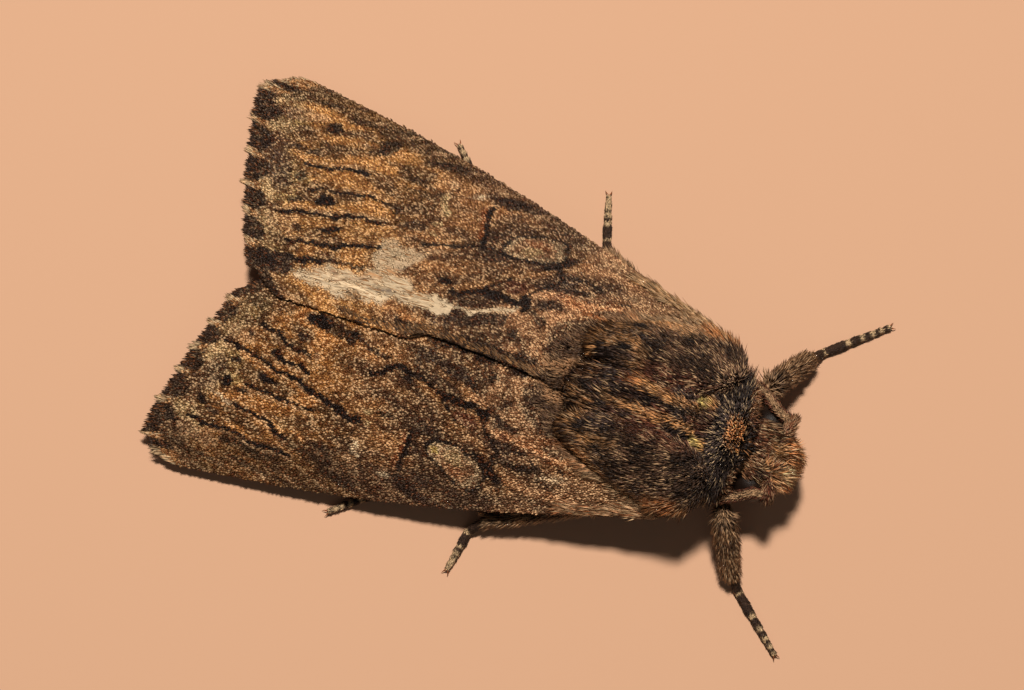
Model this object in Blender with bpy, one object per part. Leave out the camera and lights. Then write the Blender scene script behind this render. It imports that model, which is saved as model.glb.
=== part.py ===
"""An owlet moth at rest with its wings folded like a low roof, life size, as solids.

The moth faces -Y, its left side is +X and its six feet stand on the plane Z = 0.
Lengths are in millimetres, measured back from the face (Y) and up from the floor (Z).
finish() moves each mesh so that the origin is under the middle of the whole moth, and
turns it to metres.
"""

import math

import bmesh
import bpy
from mathutils import Matrix, Vector

MM = 0.001
BODY_MIDDLE = 12.825  # from the face back to the middle of the moth, feet and wings included
GAP = 0.25  # clear space at each thin cut between two parts of the body

# Wings, as seen from above
HALF_SPAN = 8.85  # from the midline to the front edge near the tip
TERMEN_BACK = 25.1  # where the outer edge starts, near the midline
TERMEN_RISE = 2.6  # how much further back the outer edge lies near the tip
TIP_DROP = 2.1  # rounding of the wing's tip
INNER_CORNER_DROP = 1.3  # rounding of the corner next to the midline
ROOT_RADIUS = 3.3  # the wing's base goes round the thorax
ROOT_CENTRE = 7.2
ROOT_LENGTH = 3.6
COSTA_BULGE = 0.62  # how far the front edge bows outwards
OVERLAP_LEFT = 0.6  # how far the left wing reaches over the midline
OVERLAP_RIGHT = 0.25
OVERLAP_FRONT = 0.55  # and how much further the left one does beside the thorax
LEFT_SPREAD = 0.5  # the left wing is held this much further out
LEFT_REACH = 0.3  # and its outer edge about this much further back
WING_THICK = 0.5
HINDWING_UNDER = 0.95  # from the roof down to the hindwing's upper side
WING_STEP = 0.4  # the left wing is raised and the right wing lowered by this where they cross

# The roof that the wings make
RIDGE_REAR = 2.6
RIDGE_RISE = 3.7
EDGE_REAR = 0.95
EDGE_RISE = 3.4
ROOF_REAR = 26.0
ROOF_CURVE = 1.7

# Head
EYE_RADIUS = 0.85
EYE_CENTRE = Vector((1.35, 1.85, 3.35))
HEAD_BACK = 2.75
HEAD_TURN = 0.3  # the face is turned this much to the moth's right

# Shoulder plates
TEGULA_HALF_SIZE = (1.95, 3.6, 1.4)
TEGULA_CENTRE = (2.25, 6.9, 5.55)
TEGULA_SLOPE = 33.0
TEGULA_TOE = 8.0
TEGULA_TAPER = 0.2

COLOURS = {
    "thorax": (0.060, 0.038, 0.026),
    "collar": (0.110, 0.055, 0.030),
    "head": (0.130, 0.070, 0.038),
    "eye": (0.008, 0.006, 0.006),
    "antenna": (0.240, 0.120, 0.060),
    "abdomen": (0.130, 0.095, 0.065),
    "forewing": (0.120, 0.068, 0.038),
    "hindwing": (0.170, 0.130, 0.095),
    "leg": (0.110, 0.070, 0.045),
    "foot": (0.160, 0.110, 0.070),
}


def clear_scene():
    """Removes whatever the scene holds before the moth is built."""
    for obj in list(bpy.data.objects):
        bpy.data.objects.remove(obj, do_unlink=True)


def material(name):
    """The material of one kind of surface, made once."""
    found = bpy.data.materials.get(name)
    if found:
        return found
    made = bpy.data.materials.new(name)
    made.use_nodes = True
    shader = made.node_tree.nodes["Principled BSDF"]
    shader.inputs["Base Color"].default_value = (*COLOURS[name], 1.0)
    shader.inputs["Roughness"].default_value = 0.12 if name == "eye" else 0.75
    shader.inputs["Metallic"].default_value = 0.0
    return made


def finish(name, bm, finish_name):
    """Turns a bmesh in millimetres into a named object in metres, on the moth's own frame."""
    bmesh.ops.recalc_face_normals(bm, faces=bm.faces)
    place = Matrix.Scale(MM, 4) @ Matrix.Translation((0.0, -BODY_MIDDLE, 0.0))
    bmesh.ops.transform(bm, matrix=place, verts=bm.verts)
    mesh = bpy.data.meshes.new(name)
    bm.to_mesh(mesh)
    bm.free()
    mesh.materials.append(material(finish_name))
    mesh.shade_smooth()
    obj = bpy.data.objects.new(name, mesh)
    bpy.context.scene.collection.objects.link(obj)
    return obj


def helper(name, bm):
    """A cutter: it shapes its neighbours and isn't a part of the moth."""
    obj = finish(name, bm, "thorax")
    obj.hide_render = True
    obj.display_type = "WIRE"
    return obj


def cut(obj, *cutters):
    """Takes each cutter's shape out of an object, which leaves the thin gap between parts."""
    for cutter in cutters:
        modifier = obj.modifiers.new("cut_" + cutter.name, "BOOLEAN")
        modifier.operation = "DIFFERENCE"
        modifier.solver = "EXACT"
        modifier.object = cutter


def smooth_step(t):
    """0 below 0, 1 above 1, and an even rise between them."""
    t = min(1.0, max(0.0, t))
    return t * t * (3.0 - 2.0 * t)


def through(keys, steps):
    """Rows on a smooth curve through the key rows, steps of them for each pair of keys."""
    rows = []
    last = len(keys) - 1
    for i in range(last):
        a, b, c, d = (keys[min(max(j, 0), last)] for j in (i - 1, i, i + 1, i + 2))
        for step in range(steps):
            t = step / steps
            rows.append(
                tuple(
                    0.5
                    * (
                        2 * q
                        + (r - p) * t
                        + (2 * p - 5 * q + 4 * r - s) * t * t
                        + (3 * q - p - 3 * r + s) * t**3
                    )
                    for p, q, r, s in zip(a, b, c, d)
                )
            )
    rows.append(tuple(keys[-1]))
    return rows


def bridge_rings(rings, sides):
    """One closed body over rings, each a 4x4 matrix that places a unit circle."""
    bm = bmesh.new()
    loops = []
    for ring in rings:
        made = bmesh.ops.create_circle(bm, cap_ends=False, radius=1.0, segments=sides)
        bmesh.ops.transform(bm, matrix=ring, verts=made["verts"])
        inside = set(made["verts"])
        loops.append([e for e in bm.edges if set(e.verts) <= inside])
    for first, second in zip(loops, loops[1:]):
        bmesh.ops.bridge_loops(bm, edges=first + second)
    open_edges = [e for e in bm.edges if e.is_boundary]
    bmesh.ops.holes_fill(bm, edges=open_edges, sides=sides)
    return bm


def turned(back):
    """How far the head's turn moves a point sideways."""
    return -HEAD_TURN * max(0.0, 1.0 - back / HEAD_BACK)


def body(keys, sides, steps=3, grow=0.0):
    """A body along Y through rows of (distance back, half width, lowest Z, highest Z)."""
    rows = through(keys, steps)
    rings = []
    for index, (back, half_width, low, high) in enumerate(rows):
        if index == 0:
            back -= grow
        if index == len(rows) - 1:
            back += grow
        size = Matrix.Diagonal((half_width + grow, (high - low) / 2 + grow, 1.0, 1.0))
        upright = Matrix.Rotation(math.pi / 2, 4, "X")
        centre = Vector((turned(back), back, (low + high) / 2))
        rings.append(Matrix.Translation(centre) @ upright @ size)
    return bridge_rings(rings, sides)


def tube(keys, sides, steps=3):
    """A limb or feeler through rows of (x, y, z, radius)."""
    rows = through(keys, steps)
    points = [Vector(row[:3]) for row in rows]
    rings = []
    for i, row in enumerate(rows):
        ahead = points[min(i + 1, len(points) - 1)] - points[max(i - 1, 0)]
        ahead.normalize()
        side = ahead.cross(Vector((0.0, 0.0, 1.0))).normalized()
        up = side.cross(ahead)
        turn = Matrix((side, up, ahead)).transposed().to_4x4()
        turned = Matrix.Rotation(math.pi / sides, 4, "Z")
        size = Matrix.Diagonal((row[3], row[3], 1.0, 1.0))
        rings.append(Matrix.Translation(points[i]) @ turn @ size @ turned)
    return bridge_rings(rings, sides)


def slice_off(bm, point, outwards):
    """Cuts a body with a plane and closes it, leaving out what lies beyond the plane."""
    geometry = bm.verts[:] + bm.edges[:] + bm.faces[:]
    bmesh.ops.bisect_plane(
        bm, geom=geometry, plane_co=point, plane_no=outwards, clear_outer=True, dist=1e-5
    )
    open_edges = [e for e in bm.edges if e.is_boundary]
    bmesh.ops.holes_fill(bm, edges=open_edges, sides=0)


# ---------------------------------------------------------------- wings


def ridge_height(back):
    """Height of the roof on the midline."""
    return RIDGE_REAR + RIDGE_RISE * (max(ROOF_REAR - back, 0.0) / 16.5) ** 0.9


def edge_height(back):
    """Height of the roof at the wing's front edge."""
    return EDGE_REAR + EDGE_RISE * (max(ROOF_REAR - back, 0.0) / 21.0) ** 1.8


def edge_reach(back):
    """From the midline out to the wing's front edge."""
    ahead = 26.5 - back
    return HALF_SPAN - 0.1014 * ahead - 0.00544 * ahead * ahead


def roof(out, back):
    """Height of the roof, out from the midline and back from the face."""
    share = min(1.15, abs(out) / edge_reach(back))
    low = edge_height(back)
    return low + (ridge_height(back) - low) * (1.0 - share**ROOF_CURVE)


def forewing_plan(u, v, left):
    """Place of a wing point seen from above: u runs from base to outer edge, and v from
    the midline to the front edge."""
    overlap = OVERLAP_LEFT + OVERLAP_FRONT * (1.0 - u) ** 3 if left else OVERLAP_RIGHT
    turn = math.radians(130.0 * v)
    root_out = ROOT_RADIUS * math.sin(min(math.pi / 2, math.radians(115.0 * v)))
    root_out += 0.85 * smooth_step((v - 0.8) / 0.2)
    root_back = ROOT_CENTRE + ROOT_LENGTH * math.cos(turn)
    end_out = HALF_SPAN * v
    end_back = TERMEN_BACK + TERMEN_RISE * (end_out / 7.5) ** 0.75
    end_back -= TIP_DROP * max(0.0, (v - 0.8) / 0.2) ** 3
    end_back -= INNER_CORNER_DROP * max(0.0, (0.12 - v) / 0.12) ** 1.5
    out = root_out + (end_out - root_out) * u
    out += COSTA_BULGE * math.sin(math.pi * u) * v * v
    out -= overlap * (1.0 - v) ** 4
    back = root_back + (end_back - root_back) * u
    if left:
        out += LEFT_SPREAD * smooth_step(1.2 * u) * v
        back += LEFT_REACH * u**4 * math.sqrt(v) * (1.0 + math.sin(math.pi * v))
    return out, back


def sheet(columns, rows, place):
    """A grid whose points go where place(u, v) says, both from 0 to 1."""
    bm = bmesh.new()
    bmesh.ops.create_grid(bm, x_segments=columns, y_segments=rows, size=1.0)
    for vert in bm.verts:
        vert.co = place((vert.co.x + 1.0) / 2, (vert.co.y + 1.0) / 2)
    return bm


def face_up(bm):
    """Turns a sheet's faces upwards."""
    bm.normal_update()
    if sum(face.normal.z for face in bm.faces) < 0:
        bmesh.ops.reverse_faces(bm, faces=bm.faces)
    return bm


def thicken(bm, thick):
    """Gives a sheet its thickness, downwards."""
    bmesh.ops.solidify(face_up(bm), geom=bm.faces[:], thickness=thick)
    return bm


def forewing(side):
    """One forewing: side is +1 for the left and -1 for the right."""
    step = WING_STEP * side

    def place(u, v):
        out, back = forewing_plan(u, v, side > 0)
        near = 1.0 - smooth_step(out / 2.2)
        return Vector((side * out, back, roof(out, back) + step * near))

    return thicken(sheet(22, 13, place), WING_THICK)


def hindwing(side):
    """One hindwing, tucked under the forewing beside the abdomen."""

    def place(u, v):
        root = Vector((2.1 + 1.1 * v, 10.0 - 1.2 * v))
        end = Vector((2.1 + 4.6 * v, 21.4 + 2.4 * math.sin(math.pi * (0.15 + 0.6 * v))))
        out, back = root.lerp(end, u)
        out += 0.5 * math.sin(math.pi * u) * v
        return Vector((side * out, back, roof(out, back) - HINDWING_UNDER))

    return thicken(sheet(11, 7, place), WING_THICK)


def under_roof():
    """Cutter: the room of the wing bases, so that a tegula lies on them and not in them."""
    reach = 6.5
    front, rear = 3.2, 12.2
    below_floor = -1.0

    def place(u, v):
        out = reach * (2.0 * u - 1.0)
        back = front + (rear - front) * v
        return Vector((out, back, roof(out, back) + GAP))

    bm = face_up(sheet(26, 12, place))
    lower = bmesh.ops.extrude_face_region(bm, geom=bm.faces[:])
    for item in lower["geom"]:
        if isinstance(item, bmesh.types.BMVert):
            item.co.z = below_floor
    return helper("room_of_wings", bm)


# ---------------------------------------------------------------- body

HEAD_KEYS = [
    (0.10, 0.40, 3.30, 3.95),
    (0.20, 0.78, 3.00, 4.25),
    (0.55, 1.15, 2.75, 4.60),
    (1.20, 1.48, 2.35, 5.00),
    (2.00, 1.60, 2.05, 5.20),
    (HEAD_BACK, 1.50, 2.05, 5.25),
]
COLLAR_KEYS = [
    (3.00, 1.95, 2.35, 5.45),
    (3.30, 2.55, 2.10, 6.05),
    (3.85, 3.00, 1.95, 6.45),
    (4.45, 3.15, 1.90, 6.65),
]
THORAX_KEYS = [
    (4.70, 3.10, 1.85, 6.70),
    (6.00, 3.05, 1.60, 7.00),
    (7.60, 2.85, 1.50, 6.95),
    (8.90, 2.40, 1.50, 6.60),
    (9.80, 1.75, 1.60, 5.90),
    (10.20, 1.30, 1.80, 5.40),
]
ABDOMEN_KEYS = [
    (10.45, 1.35, 1.60, 4.55),
    (11.20, 1.90, 0.95, 4.75),
    (12.80, 2.15, 0.70, 4.50),
    (15.00, 2.10, 0.60, 3.85),
    (17.50, 1.80, 0.55, 3.25),
    (20.00, 1.30, 0.55, 2.60),
    (21.60, 0.80, 0.70, 1.95),
    (22.20, 0.40, 0.90, 1.55),
]


def tegula(side):
    """The shoulder plate over a wing's base: an egg with its wide end in front."""
    bm = bmesh.new()
    bmesh.ops.create_uvsphere(bm, u_segments=20, v_segments=12, radius=1.0)
    lie = Matrix.Rotation(math.pi / 2, 4, "X")
    bmesh.ops.transform(bm, matrix=lie, verts=bm.verts)
    for vert in bm.verts:
        vert.co.x *= 1.0 - TEGULA_TAPER * vert.co.y
    size = Matrix.Diagonal((*TEGULA_HALF_SIZE, 1.0))
    slope = Matrix.Rotation(math.radians(TEGULA_SLOPE * side), 4, "Y")
    toe = Matrix.Rotation(math.radians(TEGULA_TOE * side), 4, "Z")
    place = Matrix.Translation((TEGULA_CENTRE[0] * side, *TEGULA_CENTRE[1:]))
    bmesh.ops.transform(bm, matrix=place @ toe @ slope @ size, verts=bm.verts)
    return bm


def eye(side, grow=0.0):
    """A compound eye as a ball."""
    bm = bmesh.new()
    bmesh.ops.create_icosphere(bm, subdivisions=2, radius=EYE_RADIUS + grow)
    centre = Vector((EYE_CENTRE.x * side + turned(EYE_CENTRE.y), EYE_CENTRE.y, EYE_CENTRE.z))
    bmesh.ops.translate(bm, vec=centre, verts=bm.verts)
    return bm


def mirrored(side, keys):
    """Rows of one of the head's limbs on the left, turned over for the right."""
    return [(out * side + turned(back), back, *rest) for out, back, *rest in keys]


SCAPE_KEYS = [(1.05, 1.15, 4.30, 0.34), (1.40, 0.95, 4.72, 0.34), (1.80, 0.80, 4.52, 0.30)]
FLAGELLUM_KEYS = [
    (1.80, 1.17, 4.50, 0.27),
    (2.00, 1.65, 4.42, 0.28),
    (2.32, 2.25, 4.15, 0.28),
    (2.75, 2.80, 3.85, 0.28),
    (3.55, 3.80, 3.58, 0.28),
    (3.85, 5.00, 3.40, 0.28),
    (3.90, 7.20, 3.30, 0.27),
    (3.80, 9.80, 3.00, 0.26),
    (3.60, 12.40, 2.60, 0.25),
]
PALP_KEYS = [
    (0.52, 1.50, 2.05, 0.30),
    (0.60, 0.80, 2.12, 0.34),
    (0.62, 0.36, 2.42, 0.36),
    (0.58, 0.30, 2.92, 0.28),
]


# ---------------------------------------------------------------- legs

# Each leg leaves the thorax at its root and turns at the hip, both as (out, back, up). Each
# side then has its knee, its ankle, the place where the foot reaches the floor, and the toe.
LEGS = {
    "fore": {
        "body": [(1.15, 4.00, 2.60), (1.50, 3.20, 1.45)],
        "left": [(2.85, 2.30, 2.95), (4.72, 0.98, 1.00), (5.45, 0.35), (7.65, -2.25)],
        "right": [(3.10, 2.45, 2.95), (5.20, 1.20, 1.00), (5.85, 0.50), (8.05, -2.00)],
        "radii": (0.60, 0.50, 0.60, 0.31),
    },
    "mid": {
        "body": [(1.20, 6.30, 2.60), (2.00, 6.40, 1.15)],
        "left": [(4.40, 7.60, 2.45), (6.25, 10.80, 0.90), (6.95, 11.05), (9.10, 11.68)],
        "right": [(4.40, 7.80, 2.45), (6.60, 12.05, 0.90), (7.30, 12.60), (9.30, 12.95)],
        "radii": (0.62, 0.50, 0.45, 0.31),
    },
    "hind": {
        "body": [(1.10, 8.60, 2.60), (1.90, 9.10, 1.10)],
        "left": [(4.30, 11.60, 1.75), (6.45, 16.10, 0.80), (6.95, 16.75), (8.98, 18.80)],
        "right": [(4.30, 11.60, 1.75), (6.45, 16.10, 0.80), (6.90, 16.80), (8.60, 18.80)],
        "radii": (0.62, 0.48, 0.45, 0.31),
    },
}
SEGMENTS = ("coxa", "femur", "tibia")
FLOOR_CENTRE = 0.285  # height of the foot's middle where it reaches the floor
TOE_CENTRE = 0.235  # and at the toe, so that the joints' undersides are cut flat
TOE_RADIUS = 0.31
FOOT_RINGS = 5  # joints of a foot


def mitre(before, at, after):
    """Direction across a joint, from the part before it to the part after it."""
    return ((at - before).normalized() + (after - at).normalized()).normalized()


def foot_keys(ankle, floor, toe, radius):
    """A foot's rows: down to the floor and along it, each of its joints a little swollen."""
    keys = [(*ankle, radius)]
    along = Vector(toe) - Vector(floor)
    for i in range(FOOT_RINGS):
        near = Vector(floor) + along * (i / FOOT_RINGS)
        wide = Vector(floor) + along * ((i + 0.7) / FOOT_RINGS)
        keys.append((*near, radius * 0.86))
        keys.append((*wide, radius))
    keys.append((*toe, TOE_RADIUS))
    return keys


def leg(kind, side):
    """The parts of one leg, cut from each other at the joints' mitre planes."""
    plan = LEGS[kind]
    name = "left" if side > 0 else "right"
    knee, ankle, landing, tip = plan[name]
    joints = [Vector((x * side, y, z)) for x, y, z in (*plan["body"], knee, ankle)]
    floor = Vector((landing[0] * side, landing[1], FLOOR_CENTRE))
    toe = Vector((tip[0] * side, tip[1], TOE_CENTRE))
    points = joints + [floor]
    made = []
    for i, segment in enumerate(SEGMENTS):
        start, end = points[i], points[i + 1]
        along = (end - start).normalized()
        radius = plan["radii"][i]
        reach = radius * 1.6
        keys = [
            (*(start - along * reach), radius * 0.8),
            (*start, radius * 0.85),
            (*start.lerp(end, 0.45), radius),
            (*end, radius * 0.78),
            (*(end + along * reach), radius * 0.7),
        ]
        bm = tube(keys, 8, 1)
        if i > 0:
            across = mitre(points[i - 1], start, end)
            slice_off(bm, start + across * GAP / 2, -across)
        across = mitre(start, end, points[i + 2])
        slice_off(bm, end - across * GAP / 2, across)
        made.append(finish(f"{kind}_{segment}_{name}", bm, "leg"))
    ankle = joints[3]
    behind = ankle - (floor - ankle).normalized() * 0.5
    bm = tube(foot_keys(behind, floor, toe, plan["radii"][3]), 8, 1)
    across = mitre(joints[2], ankle, floor)
    slice_off(bm, ankle + across * GAP / 2, -across)
    slice_off(bm, Vector((0.0, 0.0, 0.0)), Vector((0.0, 0.0, -1.0)))
    finish(f"{kind}_foot_{name}", bm, "foot")
    return made[0]


def build():
    """Makes every part of the moth."""
    clear_scene()
    head_room = helper("room_of_head", body(HEAD_KEYS, 16, 2, GAP))
    thorax_room = helper("room_of_thorax", body(THORAX_KEYS, 20, 2, GAP))
    collar_room = helper("room_of_collar", body(COLLAR_KEYS, 20, 2, GAP))
    wing_room = under_roof()
    eye_rooms = [helper(f"room_of_eye_{i}", eye(i, 0.15)) for i in (1, -1)]

    cut(finish("head", body(HEAD_KEYS, 16, 2), "head"), *eye_rooms)
    finish("collar", body(COLLAR_KEYS, 20, 2), "collar")
    finish("thorax", body(THORAX_KEYS, 20, 2), "thorax")
    finish("abdomen", body(ABDOMEN_KEYS, 16, 2), "abdomen")

    for side, name in ((1, "left"), (-1, "right")):
        finish(f"eye_{name}", eye(side), "eye")
        scape = finish(f"antenna_base_{name}", tube(mirrored(side, SCAPE_KEYS), 8, 2), "antenna")
        cut(scape, head_room)
        finish(f"antenna_{name}", tube(mirrored(side, FLAGELLUM_KEYS), 8, 3), "antenna")
        palp = finish(f"palp_{name}", tube(mirrored(side, PALP_KEYS), 8, 2), "head")
        cut(palp, head_room)
        shoulder = finish(f"tegula_{name}", tegula(side), "thorax")
        cut(shoulder, thorax_room, collar_room, wing_room)
        finish(f"forewing_{name}", forewing(side), "forewing")
        finish(f"hindwing_{name}", hindwing(side), "hindwing")
        for kind in LEGS:
            cut(leg(kind, side), thorax_room, collar_room)


build()
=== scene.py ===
"""An owlet moth at rest, life size, in its coat of scales and hair.

The moth faces -Y, its left side is +X and its feet stand on the floor, Z = 0. Shapes are
worked out in millimetres as (out to the moth's left, back from its face, up from the
floor). Bench.metres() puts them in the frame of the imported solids, in metres.
"""

import itertools
import logging
import math
from dataclasses import dataclass, field
from enum import Enum
from typing import Any, ClassVar, Iterable, Sequence, Union

import bmesh
import bpy
import numpy as np
from mathutils import Matrix, Vector


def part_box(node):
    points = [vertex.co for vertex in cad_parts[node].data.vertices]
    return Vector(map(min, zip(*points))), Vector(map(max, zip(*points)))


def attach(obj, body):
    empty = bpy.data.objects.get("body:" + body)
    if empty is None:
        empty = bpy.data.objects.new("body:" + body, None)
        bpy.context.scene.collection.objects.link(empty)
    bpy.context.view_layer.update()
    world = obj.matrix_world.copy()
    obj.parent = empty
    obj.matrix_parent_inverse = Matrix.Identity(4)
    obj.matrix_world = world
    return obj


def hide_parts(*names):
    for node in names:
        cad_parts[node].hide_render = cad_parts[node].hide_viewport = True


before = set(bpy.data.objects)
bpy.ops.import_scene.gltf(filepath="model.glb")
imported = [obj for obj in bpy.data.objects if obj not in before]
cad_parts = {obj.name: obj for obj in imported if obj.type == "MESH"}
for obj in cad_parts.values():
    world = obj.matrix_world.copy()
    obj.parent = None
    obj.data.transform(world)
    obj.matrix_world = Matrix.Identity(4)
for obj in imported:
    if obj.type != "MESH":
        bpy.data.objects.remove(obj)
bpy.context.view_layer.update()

Array = np.ndarray
Rows = Sequence[Sequence[float]]
MM = 0.001
HEAD_FRONT = 0.10  # where the solid head starts, back from the face
FACE_TO_MIDDLE = HEAD_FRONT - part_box("head")[0].y / MM
UV_MAP = "OFBake"
UV_PATCH = 0.003  # how wide one scale or tuft lies on the unwrap
TONE = "tone"  # the colour attribute that every finish reads


class Side(Enum):
    """The moth's own left and right."""

    LEFT = 1
    RIGHT = -1

    @property
    def word(self) -> str:
        """The side as the frame's names say it."""
        return self.name.lower()


class Region(Enum):
    """Parts of the skin, each with its own kind of coat."""

    HEAD = 0
    COLLAR = 1
    THORAX = 2
    ABDOMEN = 3
    TEGULA = 4
    PALP = 5
    SCAPE = 6
    FEELER = 7
    THIGH = 8
    SHIN = 9
    FOOT = 10


class Tone(Enum):
    """Colours of scales, hair and horn, as display values."""

    BLACK = (36, 25, 20)
    UMBER = (62, 45, 35)
    SOOT = (56, 45, 41)
    GREY_BROWN = (96, 72, 54)
    BROWN = (128, 90, 60)
    RED_BROWN = (102, 58, 40)
    RUST = (146, 82, 42)
    ORANGE = (168, 104, 56)
    GOLD = (170, 122, 76)
    TAN = (172, 136, 100)
    PALE_OLIVE = (178, 152, 108)
    SAND = (196, 160, 120)
    HONEY = (212, 180, 138)
    CREAM = (220, 194, 156)
    STRAW = (222, 196, 160)
    YELLOW = (206, 180, 108)
    AMBER = (120, 62, 28)

    @property
    def linear(self) -> Array:
        """The colour as light, which is what shaders mix."""
        shown = np.array(self.value) / 255.0
        return np.where(shown <= 0.04045, shown / 12.92, ((shown + 0.055) / 1.055) ** 2.4)

    def __mul__(self, factor: Any) -> Array:
        """The colour as light, made brighter or darker."""
        return self.linear * factor


def smooth(t: Array) -> Array:
    """0 below 0, 1 above 1, and an even rise between them."""
    t = np.clip(t, 0.0, 1.0)
    return t * t * (3.0 - 2.0 * t)


def unit(vectors: Array) -> Array:
    """The vectors at length 1."""
    return vectors / np.maximum(np.linalg.norm(vectors, axis=-1, keepdims=True), 1e-9)


def blend(first: Union[Tone, Array], second: Union[Tone, Array], share: Any) -> Array:
    """Colours part of the way from the first to the second."""
    first, second = (c.linear if isinstance(c, Tone) else c for c in (first, second))
    share = np.asarray(share)
    share = share[..., None] if share.ndim else share
    return first + (second - first) * share


def rows(*columns: Any) -> Array:
    """Columns of numbers side by side, where a single number stands for a whole column."""
    return np.stack(np.broadcast_arrays(*columns), axis=-1)


def level(at: Array) -> Array:
    """Flat places as places in space, at height 0."""
    return rows(at[:, 0], at[:, 1], 0.0)


def overlaid(colour: Array, *layers: tuple[Any, Any]) -> Array:
    """A colour with others laid over it in turn, each as (the colour, its share)."""
    for tone, share in layers:
        colour = blend(colour, tone, share)
    return colour


def far_from(at: Array, nodes: Array) -> Array:
    """Distance of each place from a line through nodes, on the flat."""
    far = np.full(len(at), 1e9)
    for start, end in zip(nodes[:-1], nodes[1:]):
        run = end - start
        share = np.clip((at - start) @ run / (run @ run), 0.0, 1.0)
        far = np.minimum(far, np.linalg.norm(at - start - share[:, None] * run, axis=1))
    return far


def corners_of(bm: bmesh.types.BMesh) -> Array:
    """Where a shape's corners are, one row each."""
    return np.array([vert.co for vert in bm.verts])


def settled(bm: bmesh.types.BMesh, name: str) -> bpy.types.Mesh:
    """A finished shape as a mesh."""
    mesh = bpy.data.meshes.new(name)
    bm.to_mesh(mesh)
    bm.free()
    return mesh


def merged(parts: Iterable[bmesh.types.BMesh]) -> bmesh.types.BMesh:
    """Several shapes as one."""
    whole = bmesh.new()
    for part in parts:
        mesh = settled(part, "part")
        whole.from_mesh(mesh)
        bpy.data.meshes.remove(mesh)
    return whole


def read(items: Any, name: str, kind: type = np.float64) -> Array:
    """Three numbers of each of a mesh's items, one row each."""
    found = np.empty(len(items) * 3, kind)
    items.foreach_get(name, found)
    return found.reshape(-1, 3)


def through(keys: Rows, steps: int) -> Array:
    """Rows on a smooth curve through the key rows.

    Args:
        keys: rows of numbers that the curve passes through.
        steps: rows to make for each pair of keys.

    Returns:
        The rows, with the last key as the last of them.
    """
    keyed = np.array(keys, float)
    padded = np.vstack([keyed[:1], keyed, keyed[-1:]])
    p, q, r, s = (padded[i : len(padded) - 3 + i, None] for i in range(4))
    t = (np.arange(steps) / steps)[None, :, None]
    bend = 2 * p - 5 * q + 4 * r - s
    curve = 0.5 * (2 * q + (r - p) * t + bend * t**2 + (3 * q - p - 3 * r + s) * t**3)
    return np.vstack([curve.reshape(-1, keyed.shape[1]), keyed[-1:]])


@dataclass(frozen=True)
class Grain:
    """Soft random values through space, the same at each run."""

    seed: int

    def _cell(self, cell: Array) -> Array:
        """A value from 0 to 1 for each whole-numbered cell."""
        mixed = cell[..., 0] * 73856093 ^ cell[..., 1] * 19349663 ^ cell[..., 2] * 83492791
        mixed = (mixed ^ (self.seed * 2654435761)) & 0xFFFFFFFF
        mixed = ((mixed ^ (mixed >> 15)) * 2246822519) & 0xFFFFFFFF
        mixed = ((mixed ^ (mixed >> 13)) * 3266489917) & 0xFFFFFFFF
        return ((mixed ^ (mixed >> 16)) & 0xFFFF) / 65535.0

    def at(self, points: Array, size: Any) -> Array:
        """Values at points.

        Args:
            points: places in millimetres, one row each.
            size: width of the grain's cells, one number or one for each axis.

        Returns:
            A value from 0 to 1 for each place.
        """
        scaled = points / np.asarray(size)
        cell = np.floor(scaled).astype(np.int64)
        part = scaled - cell
        part = part * part * (3.0 - 2.0 * part)
        total = np.zeros(len(points))
        for corner in itertools.product((0, 1), repeat=3):
            weight = np.prod(np.where(corner, part, 1.0 - part), axis=-1)
            total += weight * self._cell(cell + np.array(corner))
        return total

    def layered(self, points: Array, size: float, layers: int = 3) -> Array:
        """Values at points from finer and finer grain, from 0 to 1."""
        shares = [0.5**i for i in range(layers)]
        found = [share * self.at(points, size * share) for share in shares]
        return sum(found) / sum(shares)


# ------------------------------------------------------------------ scales and tufts


@dataclass(frozen=True)
class LockForm:
    """The closed spindle that a kind of scale or tuft repeats."""

    sides: int = 3
    rings: int = 1
    widest: float = 0.4  # share of its length at which it is widest

    def template(self) -> tuple[Array, Array]:
        """The spindle, root to tip along Z from 0 to 1, with a ridge along its upper side.

        Returns:
            Its corners and its triangles.
        """
        bm = bmesh.new()
        bmesh.ops.create_uvsphere(
            bm, u_segments=self.sides, v_segments=self.rings + 1, radius=1.0
        )
        ridge_up = Matrix.Rotation(math.radians(90.0), 3, "Z")
        bmesh.ops.rotate(bm, matrix=ridge_up, verts=bm.verts)
        bmesh.ops.triangulate(bm, faces=bm.faces[:])
        bm.verts.index_update()
        corners = corners_of(bm)
        faces = np.array([[vert.index for vert in face.verts] for face in bm.faces])
        bm.free()
        power = math.log(self.widest) / math.log(0.5)
        corners[:, 2] = np.clip((corners[:, 2] + 1.0) / 2.0, 0.0, 1.0) ** power
        return corners, faces


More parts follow.
